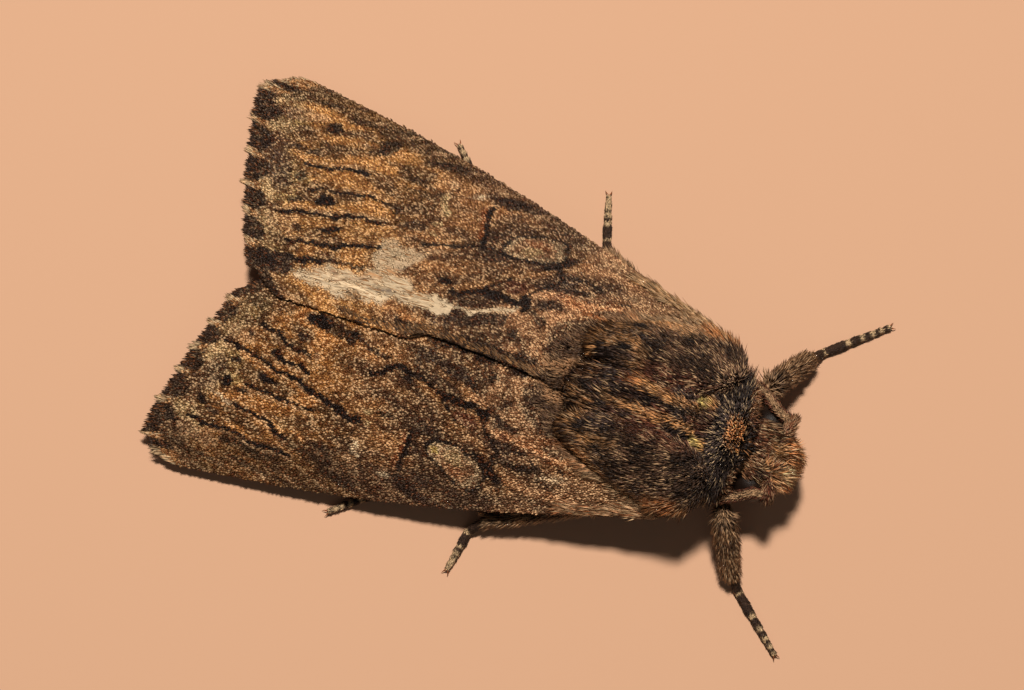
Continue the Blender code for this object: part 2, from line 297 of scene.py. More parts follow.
@dataclass
class Locks:
    """Many scales or tufts, one row each, in millimetres."""

    root: Array
    out: Array  # away from the skin
    lie: Array  # the way the tip points
    place: Array  # the root's place on the skin's unwrap
    length: Array
    width: Array  # half of the widest place
    thick: Array  # half of its thickness there
    lift: Array  # rise from the skin for each length along it, at the root
    curl: Array  # how much of that rise is gone at the tip
    tones: Array  # colours of the root, middle and tip

    def __post_init__(self) -> None:
        """Gives every lock a value of its own where one number stands for all."""
        for name in ("length", "width", "thick", "lift", "curl"):
            setattr(self, name, np.broadcast_to(getattr(self, name), len(self.root)))

    def woven(self, form: LockForm) -> tuple[Array, Array, Array, Array]:
        """Every lock as its own closed spindle.

        Args:
            form: the spindle that they repeat.

        Returns:
            Corners, triangles, a colour for each corner and its place on the unwrap.
        """
        corners, faces = form.template()
        along = corners[:, 2]
        out = unit(self.out)
        lie = unit(self.lie - out * np.sum(self.lie * out, axis=1, keepdims=True))
        side = np.cross(out, lie)
        reach = self.length[:, None] * along
        rise = self.lift[:, None] * (along - 0.5 * self.curl[:, None] * along**2)
        rise = rise * self.length[:, None] + self.thick[:, None] * corners[:, 1]
        wide = self.width[:, None] * corners[:, 0]
        points = self.root[:, None] + lie[:, None] * reach[..., None]
        points += out[:, None] * rise[..., None] + side[:, None] * wide[..., None]
        middle = 1.0 - np.abs(2.0 * along**0.8 - 1.0)
        weights = np.stack([np.where(along < 0.5, 1 - middle, 0.0), middle,
                            np.where(along >= 0.5, 1 - middle, 0.0)])
        tones = np.einsum("kv,nkc->nvc", weights, self.tones)
        patch = np.stack([corners[:, 0], 2.0 * along - 1.0], axis=1) * (UV_PATCH / 2.0)
        places = self.place[:, None] + patch
        count = len(self.root)
        index = faces[None] + (np.arange(count) * len(corners))[:, None, None]
        return (points.reshape(-1, 3), index.reshape(-1, 3), tones.reshape(-1, 3),
                places.reshape(-1, 2))

    def chosen(self, mask: Array) -> "Locks":
        """Only the locks where the mask is true."""
        return Locks(**{name: getattr(self, name)[mask] for name in self.__dataclass_fields__})


def joined_locks(parts: Sequence[Locks]) -> Locks:
    """Several lots of locks as one."""
    names = Locks.__dataclass_fields__
    return Locks(**{name: np.concatenate([getattr(p, name) for p in parts]) for name in names})


# ------------------------------------------------------------------ finishes


class Wire:
    """A shader socket that can be used in sums."""

    def __init__(self, table: "ShaderTable", socket: Any) -> None:
        """Keeps the socket and the table that it is on."""
        self.table = table
        self.socket = socket

    def _math(self, operation: str, first: Any, second: Any) -> "Wire":
        """One Math node."""
        node = self.table.node("ShaderNodeMath", {"operation": operation}, {0: first, 1: second})
        return Wire(self.table, node.outputs[0])

    def __add__(self, other: Any) -> "Wire":
        """Sum."""
        return self._math("ADD", self, other)

    def __mul__(self, other: Any) -> "Wire":
        """Product."""
        return self._math("MULTIPLY", self, other)

    def __sub__(self, other: Any) -> "Wire":
        """Difference."""
        return self._math("SUBTRACT", self, other)

    def __rsub__(self, other: Any) -> "Wire":
        """Difference, from a number."""
        return self._math("SUBTRACT", other, self)

    __radd__ = __add__
    __rmul__ = __mul__


class ShaderTable:
    """The nodes of one material."""

    def __init__(self, name: str) -> None:
        """Starts a material with its Principled shader."""
        self.material = bpy.data.materials.new(name)
        self.material.use_nodes = True
        self.tree = self.material.node_tree
        self.shader = self.tree.nodes["Principled BSDF"]

    def node(self, kind: str, settings: dict[str, Any], inputs: dict[Any, Any]) -> Any:
        """Adds a node.

        Args:
            kind: the node's type.
            settings: its own properties, set before its sockets.
            inputs: values or wires for its sockets, by name or number.

        Returns:
            The node.
        """
        made = self.tree.nodes.new(kind)
        for name, value in settings.items():
            setattr(made, name, value)
        for key, value in inputs.items():
            self.feed(made.inputs[key], value)
        return made

    def feed(self, socket: Any, value: Any) -> None:
        """Gives a socket a wire, or a value of its own."""
        if isinstance(value, Wire):
            self.tree.links.new(value.socket, socket)
        else:
            socket.default_value = value

    def wire(self, node: Any, output: Any = 0) -> Wire:
        """One output of a node."""
        return Wire(self, node.outputs[output])

    def place(self) -> Wire:
        """Where a point is on the object, in metres."""
        return self.wire(self.node("ShaderNodeTexCoord", {}, {}), "Object")

    def grain(self, width: float, detail: float = 2.0) -> Wire:
        """Soft noise.

        Args:
            width: size of its grain in millimetres.
            detail: how many finer layers it has.

        Returns:
            A value from 0 to 1.
        """
        inputs = {"Vector": self.place(), "Scale": 1.0 / (width * MM), "Detail": detail}
        return self.wire(self.node("ShaderNodeTexNoise", {}, inputs), "Fac")

    def painted(self) -> Wire:
        """The colour that the mesh carries."""
        settings = {"attribute_name": TONE}
        return self.wire(self.node("ShaderNodeAttribute", settings, {}), "Color")

    def shaded(self, colour: Wire, light: Wire) -> Wire:
        """A colour made lighter or darker by a value around 1."""
        inputs = {0: colour, 1: light}
        node = self.node("ShaderNodeVectorMath", {"operation": "MULTIPLY"}, inputs)
        return self.wire(node)

    def bump(self, height: Wire, depth: float) -> None:
        """Raises the surface by a height from 0 to 1, to a depth in millimetres."""
        inputs = {"Height": height, "Distance": depth * MM, "Strength": 1.0}
        self.give(Normal=self.wire(self.node("ShaderNodeBump", {}, inputs)))

    def give(self, **values: Any) -> None:
        """Gives sockets of the shader, whose names have _ for a space, wires or values."""
        for name, value in values.items():
            self.feed(self.shader.inputs[name.replace("_", " ")], value)


@dataclass(frozen=True)
class CoatFinish:
    """Scales, hair or skin: the painted colour, broken by a fine grain."""

    name: str
    roughness: float = 0.5
    gloss: float = 0.3
    grain: float = 0.05  # mm
    contrast: float = 0.5
    depth: float = 0.006  # mm

    def make(self) -> bpy.types.Material:
        """The finish as a material."""
        table = ShaderTable(self.name)
        fine = table.grain(self.grain)
        light = fine * self.contrast + (1.0 - self.contrast / 2.0)
        colour = table.shaded(table.painted(), light)
        rough = fine * 0.24 + (self.roughness - 0.12)
        table.give(Base_Color=colour, Roughness=rough, Specular_IOR_Level=self.gloss)
        table.bump(fine, self.depth)
        return table.material


@dataclass(frozen=True)
class EyeFinish:
    """A dark compound eye, with its facets as fine bumps."""

    name: str = "compound_eye"
    facet: float = 0.035  # mm

    def make(self) -> bpy.types.Material:
        """The finish as a material."""
        table = ShaderTable(self.name)
        inputs = {"Vector": table.place(), "Scale": 1.0 / (self.facet * MM)}
        cells = table.node("ShaderNodeTexVoronoi", {"feature": "F1"}, inputs)
        mix = table.node("ShaderNodeMix", {"data_type": "RGBA"}, {0: table.grain(0.5)})
        for socket, tone in ((6, Tone.BLACK * 0.25), (7, Tone.UMBER * 0.35)):  # its two colours
            mix.inputs[socket].default_value = (*tone, 1.0)
        table.give(Base_Color=table.wire(mix, 2), Roughness=0.42, Specular_IOR_Level=0.16)
        table.bump(1.0 - table.wire(cells, "Distance"), 0.008)
        return table.material


@dataclass(frozen=True)
class HornFinish:
    """Bare glossy horn, as on claws."""

    name: str = "claw_horn"

    def make(self) -> bpy.types.Material:
        """The finish as a material."""
        table = ShaderTable(self.name)
        colour = table.shaded(table.painted(), table.grain(0.12) * 0.8 + 0.6)
        table.give(Base_Color=colour, Roughness=0.28, Coat_Weight=0.3)
        return table.material


@dataclass(frozen=True)
class FloorFinish:
    """The plain pale floor."""

    name: str = "pale_floor"
    colour: tuple[float, float, float] = (0.55, 0.33, 0.21)

    def make(self) -> bpy.types.Material:
        """The finish as a material."""
        table = ShaderTable(self.name)
        table.give(Base_Color=(*self.colour, 1.0), Roughness=0.85, Specular_IOR_Level=0.2)
        return table.material


# ------------------------------------------------------------------ the bench


class Bench:
    """Turns shapes in millimetres into finished pieces on the frame."""

    def __init__(self) -> None:
        """Makes each finish once."""
        self.finishes = {
            finish.name: finish.make()
            for finish in (
                CoatFinish("wing_scales", roughness=0.42, grain=0.05),
                CoatFinish("wing_membrane", roughness=0.5, grain=0.09, depth=0.012),
                CoatFinish("body_hair", roughness=0.46, grain=0.04, contrast=0.3, depth=0.003),
                CoatFinish("skin", roughness=0.75, gloss=0.08, grain=0.08, depth=0.015),
                EyeFinish(),
                HornFinish(),
                FloorFinish(),
            )
        }

    def metres(self, points: Array) -> Array:
        """Places in millimetres as places in the frame."""
        return (points - np.array([0.0, FACE_TO_MIDDLE, 0.0])) * MM

    def put(self, bm: bmesh.types.BMesh, points: Array) -> None:
        """Moves a shape's corners to places in millimetres."""
        for vert, place in zip(bm.verts, self.metres(points)):
            vert.co = place

    def mesh(self, name: str, points: Array, faces: Array, tones: Array,
             places: Array) -> bpy.types.Mesh:
        """A mesh from arrays.

        Args:
            name: the mesh's name.
            points: corners in millimetres.
            faces: rows of corner numbers, all of one length.
            tones: a colour for each corner.
            places: each corner's place on the unwrap.

        Returns:
            The mesh, in metres.
        """
        mesh = bpy.data.meshes.new(name)
        mesh.vertices.add(len(points))
        mesh.vertices.foreach_set("co", self.metres(points).astype(np.float32).ravel())
        mesh.loops.add(faces.size)
        mesh.loops.foreach_set("vertex_index", faces.astype(np.int32).ravel())
        mesh.polygons.add(len(faces))
        starts = np.arange(0, faces.size, faces.shape[1], dtype=np.int32)
        mesh.polygons.foreach_set("loop_start", starts)
        mesh.update(calc_edges=True)
        mesh.validate()
        self.paint(mesh, tones)
        layer = mesh.uv_layers.new(name=UV_MAP)
        layer.uv.foreach_set("vector", places[faces.ravel()].astype(np.float32).ravel())
        return mesh

    def paint(self, mesh: bpy.types.Mesh, tones: Array) -> None:
        """Gives each corner of a mesh its colour, or all of them one colour."""
        layer = mesh.color_attributes.new(TONE, "FLOAT_COLOR", "POINT")
        tones = np.broadcast_to(tones, (len(mesh.vertices), 3))
        shown = rows(*np.clip(tones, 0.0, 1.0).T, 1.0)
        layer.data.foreach_set("color", shown.astype(np.float32).ravel())

    def piece(self, name: str, mesh: bpy.types.Mesh, finish: str, slot: str,
              nodes: Iterable[str] = (), soft: bool = True) -> bpy.types.Object:
        """Shows a mesh as a finished piece of the moth.

        Args:
            name: the piece's name.
            mesh: its mesh, in metres.
            finish: the name of its finish.
            slot: the name of a material slot; not used.
            nodes: the solid nodes that it stands for.
            soft: whether its faces are shaded as one smooth surface.

        Returns:
            The piece.
        """
        mesh.materials.clear()
        mesh.materials.append(self.finishes[finish])
        if soft:
            mesh.shade_smooth()
        made = bpy.data.objects.new(name, mesh)
        bpy.context.scene.collection.objects.link(made)
        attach(made, "root")
        if nodes:
            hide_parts(*nodes)
        mesh.calc_loop_triangles()
        logging.info("%s: %d triangles", name, len(mesh.loop_triangles))
        return made

    def coat(self, name: str, locks: Locks, widest: float, finish: str, slot: str,
             soft: bool = True) -> bpy.types.Object:
        """A lot of scales or tufts, each widest at a share of its length, as one piece."""
        mesh = self.mesh(name, *locks.woven(LockForm(widest=widest)))
        return self.piece(name, mesh, finish, slot, soft=soft)


# ------------------------------------------------------------------ wings

WING_LENGTH = 18.0  # mm of membrane that a forewing's marks and rows are laid out on


@dataclass(frozen=True)
class Roof:
    """The low roof that the folded wings make."""

    ridge_rear: float = 2.6
    ridge_rise: float = 3.7
    edge_rear: float = 0.95
    edge_rise: float = 3.4
    rear: float = 26.0
    curve: float = 1.7
    half_span: float = 8.85

    def height(self, out: Array, back: Array) -> Array:
        """Height of the roof.

        Args:
            out: distance from the midline.
            back: distance back from the face.

        Returns:
            The heights there.
        """
        ahead = np.maximum(self.rear - back, 0.0)
        ridge = self.ridge_rear + self.ridge_rise * (ahead / 16.5) ** 0.9
        edge = self.edge_rear + self.edge_rise * (ahead / 21.0) ** 1.8
        before = 26.5 - back
        reach = self.half_span - 0.1014 * before - 0.00544 * before**2
        share = np.minimum(1.15, np.abs(out) / reach)
        return edge + (ridge - edge) * (1.0 - share**self.curve)


@dataclass(frozen=True)
class Stroke:
    """A line painted on a wing, through (share of its length, share of its width)."""

    tone: Tone
    wide: float  # mm
    path: tuple[tuple[float, float], ...]
    strength: float = 0.9


@dataclass(frozen=True)
class Spot:
    """A soft oval painted on a wing."""

    tone: Tone
    centre: tuple[float, float]
    half: tuple[float, float]  # mm along the wing and across it
    strength: float = 0.9
    lean: float = 0.0  # degrees, turned towards the midline as it goes outwards
    edge: float = 0.4  # width of the fading rim, for each half width


Marks = tuple[Union[Stroke, Spot], ...]


def vein(*path: tuple[float, float], wide: float = 0.13) -> list[Stroke]:
    """A dark vein of the outer wing, with the paler line that runs beside it."""
    beside = tuple((u, v + 0.021) for u, v in path)
    return [Stroke(Tone.SAND, 0.10, beside, 0.5), Stroke(Tone.BLACK, wide + 0.03, path, 1.0)]


# Marks that both forewings have, in the order in which they are painted.
FOREWING_MARKS: Marks = (
    # dark shades of the base and of the middle
    Spot(Tone.UMBER, (0.07, 0.33), (1.15, 0.46), 0.85),
    Spot(Tone.BLACK, (0.03, 0.3), (0.5, 0.3), 0.6),
    Spot(Tone.UMBER, (0.08, 0.21), (0.6, 0.25), 0.85),
    Spot(Tone.BLACK, (0.03, 0.59), (0.8, 0.14), 0.8),
    Spot(Tone.UMBER, (0.095, 0.56), (0.38, 0.2), 0.8),
    Spot(Tone.UMBER, (0.196, 0.415), (0.2, 0.22), 0.85),
    Stroke(Tone.UMBER, 0.34, ((0.25, 0.235), (0.31, 0.185), (0.395, 0.15), (0.38, 0.1))),
    Spot(Tone.BLACK, (0.205, 0.17), (0.22, 0.16), 0.85),
    Spot(Tone.UMBER, (0.33, 0.285), (1.25, 0.2), 0.7, 6),
    Spot(Tone.UMBER, (0.39, 0.575), (0.65, 0.24), 0.8),
    Spot(Tone.BLACK, (0.43, 0.59), (0.7, 0.12), 0.6),
    Spot(Tone.BLACK, (0.47, 0.93), (0.4, 0.26), 0.75),
    Spot(Tone.UMBER, (0.435, 0.74), (0.34, 0.95), 0.6),
    Spot(Tone.UMBER, (0.3, 0.66), (0.3, 0.4), 0.6),
    Spot(Tone.BLACK, (0.645, 0.83), (0.62, 0.34), 0.75, 8),
    *(Spot(Tone.SAND, (u, 0.972), (0.13, 0.09)) for u in (0.24, 0.42, 0.5, 0.58, 0.66, 0.73, 0.79)),
    Spot(Tone.GOLD, (0.085, 0.8), (1.3, 0.5), 0.5),
    Spot(Tone.TAN, (0.1, 0.88), (1.6, 0.3), 0.6),
    Stroke(Tone.ORANGE, 0.2, ((0.05, 0.45), (0.13, 0.5), (0.2, 0.52)), 0.7),
    Stroke(Tone.ORANGE, 0.16, ((0.08, 0.63), (0.14, 0.66)), 0.6),
    Spot(Tone.RED_BROWN, (0.2, 0.51), (0.2, 0.14), 0.8),
    Spot(Tone.BLACK, (0.13, 0.73), (0.14, 0.14)),
    Spot(Tone.BLACK, (0.178, 0.71), (0.14, 0.13)),
    Spot(Tone.BLACK, (0.08, 0.79), (0.2, 0.09), 0.8, -20),
    # the wavy line before the middle
    Spot(Tone.BLACK, (0.285, 0.86), (0.18, 0.3), 0.8),
    Stroke(Tone.BLACK, 0.16, ((0.285, 0.85), (0.284, 0.74), (0.265, 0.7), (0.243, 0.63),
                              (0.24, 0.53), (0.243, 0.43))),
    Stroke(Tone.BLACK, 0.26, ((0.245, 0.4), (0.22, 0.355)), 1.0),
    Stroke(Tone.BLACK, 0.15, ((0.22, 0.355), (0.19, 0.32), (0.155, 0.29)), 0.8),
    # the round mark
    Spot(Tone.UMBER, (0.36, 0.75), (1.5, 1.3), 0.7),
    Spot(Tone.BLACK, (0.352, 0.76), (0.98, 0.84), 1.0, 0.0, 0.1),
    Spot(Tone.HONEY, (0.352, 0.765), (0.84, 0.71), 0.48, 0.0, 0.1),
    Spot(Tone.BROWN, (0.352, 0.765), (0.64, 0.52), 0.9, 0.0, 0.2),
    Spot(Tone.RUST, (0.36, 0.83), (0.42, 0.26), 0.5),
    Spot(Tone.PALE_OLIVE, (0.348, 0.73), (0.32, 0.34), 0.7),
    Stroke(Tone.BLACK, 0.34, ((0.29, 0.84), (0.287, 0.77), (0.292, 0.7)), 1.0),
    # the kidney mark
    Spot(Tone.GOLD, (0.515, 0.74), (0.62, 0.85), 0.2),
    Stroke(Tone.BLACK, 0.13, ((0.555, 0.88), (0.578, 0.78), (0.57, 0.66)), 0.5),
    Stroke(Tone.RUST, 0.2, ((0.487, 0.84), (0.47, 0.75), (0.447, 0.64))),
    Stroke(Tone.BLACK, 0.19, ((0.477, 0.86), (0.465, 0.77), (0.449, 0.7), (0.43, 0.6)), 1.0),
    Spot(Tone.PALE_OLIVE, (0.54, 0.605), (0.19, 0.13), 1.0),
    Spot(Tone.PALE_OLIVE, (0.535, 0.535), (0.19, 0.09)),
    Spot(Tone.CREAM, (0.513, 0.885), (0.16, 0.12)),
    Spot(Tone.SAND, (0.57, 0.885), (0.14, 0.12), 0.8),
    # the bar under them, with its red-brown cell
    Spot(Tone.RED_BROWN, (0.287, 0.445), (0.52, 0.26)),
    Stroke(Tone.BLACK, 0.13, ((0.318, 0.475), (0.325, 0.41), (0.345, 0.36)), 1.0),
    Stroke(Tone.BLACK, 0.25, ((0.24, 0.348), (0.341, 0.342)), 1.0),
    Stroke(Tone.BLACK, 0.16, ((0.341, 0.342), (0.37, 0.31), (0.41, 0.27)), 1.0),
    Spot(Tone.BLACK, (0.435, 0.3), (0.3, 0.12), 1.0),
    # the golden outer wing
    # painted shadow of the crevice where the left wing lies over the right one, partly the dark edges of
    # their scales
    Stroke(Tone.BLACK, 0.34, ((0.03, 0.05), (0.25, 0.055), (0.55, 0.03))),
    Spot(Tone.GREY_BROWN, (0.915, 0.53), (0.5, 0.85), 0.7),
    Spot(Tone.UMBER, (0.905, 0.52), (0.45, 0.45), 0.5),
    Spot(Tone.TAN, (0.9, 0.3), (0.75, 0.4), 0.45),
    Spot(Tone.TAN, (0.89, 0.85), (0.8, 0.3), 0.6),
    Spot(Tone.PALE_OLIVE, (0.93, 0.75), (0.55, 0.35), 0.5),
    Spot(Tone.BLACK, (0.925, 0.915), (0.5, 0.12), 0.6),
    Spot(Tone.BLACK, (0.95, 0.805), (0.2, 0.14)),
)

# Marks of the left forewing alone, with its rubbed streak.
LEFT_MARKS: Marks = (
    Stroke(Tone.PALE_OLIVE, 0.26, ((0.562, 0.81), (0.56, 0.74), (0.543, 0.68)), 1.0),
    Stroke(Tone.BLACK, 0.17, ((0.41, 0.59), (0.458, 0.54), (0.505, 0.487), (0.54, 0.45)), 0.95),
    Stroke(Tone.SAND, 0.14, ((0.483, 0.475), (0.5, 0.455), (0.53, 0.43))),
    Spot(Tone.BLACK, (0.722, 0.885), (0.32, 0.4)),
    Spot(Tone.BLACK, (0.738, 0.82), (0.28, 0.15), 0.7, 20),
    Spot(Tone.SAND, (0.762, 0.84), (0.16, 0.08), 0.8),
    Spot(Tone.BLACK, (0.827, 0.853), (0.28, 0.2)),
    Spot(Tone.UMBER, (0.852, 0.69), (0.25, 0.14), 0.8),
    Spot(Tone.UMBER, (0.887, 0.675), (0.25, 0.15)),
    Spot(Tone.UMBER, (0.58, 0.535), (0.55, 0.24), 0.8, 10),
    Spot(Tone.UMBER, (0.635, 0.575), (0.25, 0.15), 0.8),
    *vein((0.732, 0.693), (0.776, 0.665), (0.817, 0.63), (0.861, 0.61), wide=0.15),
    *vein((0.656, 0.582), (0.713, 0.568), (0.76, 0.533), (0.84, 0.5), wide=0.09),
    *vein((0.64, 0.475), (0.719, 0.444), (0.77, 0.41), (0.823, 0.38), (0.91, 0.34), wide=0.15),
    *vein((0.628, 0.347), (0.68, 0.32), (0.744, 0.27), (0.807, 0.25), (0.88, 0.235), wide=0.13),
    Stroke(Tone.SAND, 0.14, ((0.776, 0.415), (0.833, 0.4)), 0.8),
    Spot(Tone.BLACK, (0.795, 0.468), (0.55, 0.17), 1.0, 5),
    Spot(Tone.BLACK, (0.765, 0.34), (0.62, 0.14), 1.0, 18),
    Spot(Tone.BLACK, (0.865, 0.545), (0.25, 0.22)),
    Spot(Tone.BLACK, (0.868, 0.42), (0.32, 0.12), 0.9, 8),
    Spot(Tone.UMBER, (0.855, 0.3), (0.35, 0.12), 0.8),
    Stroke(Tone.BLACK, 0.12, ((0.65, 0.235), (0.713, 0.215), (0.776, 0.187))),
    Stroke(Tone.BLACK, 0.22, ((0.776, 0.187), (0.84, 0.166), (0.92, 0.15)), 1.0),
    Spot(Tone.UMBER, (0.915, 0.125), (1.25, 0.34), 1.0),
    Spot(Tone.BLACK, (0.95, 0.13), (0.8, 0.26), 0.8),
)

# Where the left forewing has lost its scales, and the stains on its bare membrane.
WORN_PATCHES: Marks = (
    Stroke(Tone.STRAW, 0.15, ((0.237, 0.315), (0.268, 0.272), (0.316, 0.235), (0.4, 0.185))),
    Stroke(Tone.STRAW, 0.4, ((0.4, 0.185), (0.5, 0.17), (0.56, 0.17)), 1.0),
    Spot(Tone.STRAW, (0.595, 0.3), (0.7, 0.5), 0.85),
    Spot(Tone.STRAW, (0.555, 0.345), (0.72, 0.34), 0.75, 20),
    Spot(Tone.STRAW, (0.61, 0.385), (0.4, 0.25), 0.7, 20),
    Spot(Tone.STRAW, (0.55, 0.19), (0.9, 0.36), 1.0),
    Spot(Tone.STRAW, (0.61, 0.165), (1.3, 0.5), 1.0, 3),
    Spot(Tone.STRAW, (0.72, 0.135), (1.6, 0.42), 1.0, 4),
    Spot(Tone.STRAW, (0.8, 0.115), (1.1, 0.24), 0.9, 4),
)
STAINS: Marks = (
    Spot(Tone.TAN, (0.57, 0.32), (1.0, 0.6), 0.3),
    Stroke(Tone.GOLD, 0.22, ((0.5, 0.295), (0.59, 0.25)), 0.8),
    Stroke(Tone.GOLD, 0.18, ((0.6, 0.215), (0.65, 0.205)), 0.8),
    Stroke(Tone.UMBER, 0.09, ((0.55, 0.172), (0.6, 0.16))),
    Stroke(Tone.BROWN, 0.06, ((0.62, 0.2), (0.68, 0.16), (0.74, 0.125)), 0.8),
    Spot(Tone.BROWN, (0.73, 0.162), (0.3, 0.1), 0.85),
    Spot(Tone.BROWN, (0.79, 0.145), (0.4, 0.07), 0.6),
)

# Marks of the right forewing alone.
RIGHT_MARKS: Marks = (
    Spot(Tone.UMBER, (0.14, 0.38), (1.4, 0.7), 0.4),
    Spot(Tone.UMBER, (0.45, 0.42), (1.8, 0.9), 0.45, 14),
    Spot(Tone.TAN, (0.53, 0.08), (1.5, 0.4), 0.7),
    Spot(Tone.UMBER, (0.5, 0.92), (3.2, 0.9), 0.45),
    Spot(Tone.CREAM, (0.566, 0.8), (0.12, 0.15), 1.0),
    Spot(Tone.CREAM, (0.563, 0.75), (0.14, 0.17), 1.0),
    Spot(Tone.SAND, (0.582, 0.85), (0.16, 0.16)),
    Spot(Tone.YELLOW, (0.383, 0.687), (0.16, 0.12)),
    Stroke(Tone.BLACK, 0.19, ((0.405, 0.265), (0.46, 0.265), (0.5, 0.285), (0.54, 0.32)), 1.0),
    Stroke(Tone.UMBER, 0.34, ((0.41, 0.25), (0.415, 0.15)), 0.8),
    Spot(Tone.BLACK, (0.49, 0.53), (0.45, 0.16), 0.8),
    Spot(Tone.BLACK, (0.24, 0.23), (0.55, 0.2), 0.7),
    Spot(Tone.BLACK, (0.7, 0.8), (0.55, 0.3), 0.7, 14),
    *vein((0.7, 0.875), (0.76, 0.853), (0.82, 0.81), (0.87, 0.8), (0.92, 0.765), wide=0.16),
    *vein((0.71, 0.79), (0.776, 0.7), (0.85, 0.645), wide=0.16),
    *vein((0.66, 0.6), (0.72, 0.585), (0.785, 0.555), (0.83, 0.54), wide=0.1),
    *vein((0.56, 0.6), (0.6, 0.57), (0.65, 0.52), (0.713, 0.47), wide=0.24),
    *vein((0.7, 0.475), (0.76, 0.444), (0.807, 0.41), (0.87, 0.374), (0.93, 0.36), wide=0.14),
    *vein((0.7, 0.41), (0.76, 0.38), (0.8, 0.345), wide=0.15),
    *vein((0.713, 0.326), (0.776, 0.29), (0.87, 0.23), wide=0.13),
    Spot(Tone.BLACK, (0.79, 0.347), (0.42, 0.18), 1.0, 8),
    Spot(Tone.BLACK, (0.785, 0.495), (0.55, 0.16), 1.0, 8),
    Spot(Tone.UMBER, (0.745, 0.235), (0.4, 0.14), 0.95, 12),
    Spot(Tone.UMBER, (0.875, 0.72), (0.3, 0.16)),
    Spot(Tone.BLACK, (0.907, 0.68), (0.22, 0.14), 1.0),
    Spot(Tone.UMBER, (0.83, 0.58), (0.3, 0.13), 0.95),
    Spot(Tone.BLACK, (0.878, 0.555), (0.3, 0.24), 1.0),
    Spot(Tone.BLACK, (0.88, 0.437), (0.24, 0.18), 0.95),
    Spot(Tone.UMBER, (0.883, 0.29), (0.2, 0.14)),
    Stroke(Tone.CREAM, 0.17, ((0.845, 0.655), (0.895, 0.62))),
    Stroke(Tone.CREAM, 0.12, ((0.14, 0.815), (0.2, 0.82)), 0.7),
    Spot(Tone.SAND, (0.693, 0.32), (0.2, 0.14), 0.7),
    Stroke(Tone.BLACK, 0.14, ((0.505, 0.228), (0.56, 0.2), (0.62, 0.17))),
    Stroke(Tone.BLACK, 0.42, ((0.62, 0.19), (0.68, 0.16), (0.72, 0.14))),
    Spot(Tone.BLACK, (0.73, 0.135), (0.8, 0.26), 1.0, 4),
    Spot(Tone.UMBER, (0.9, 0.12), (1.2, 0.4), 0.7),
)


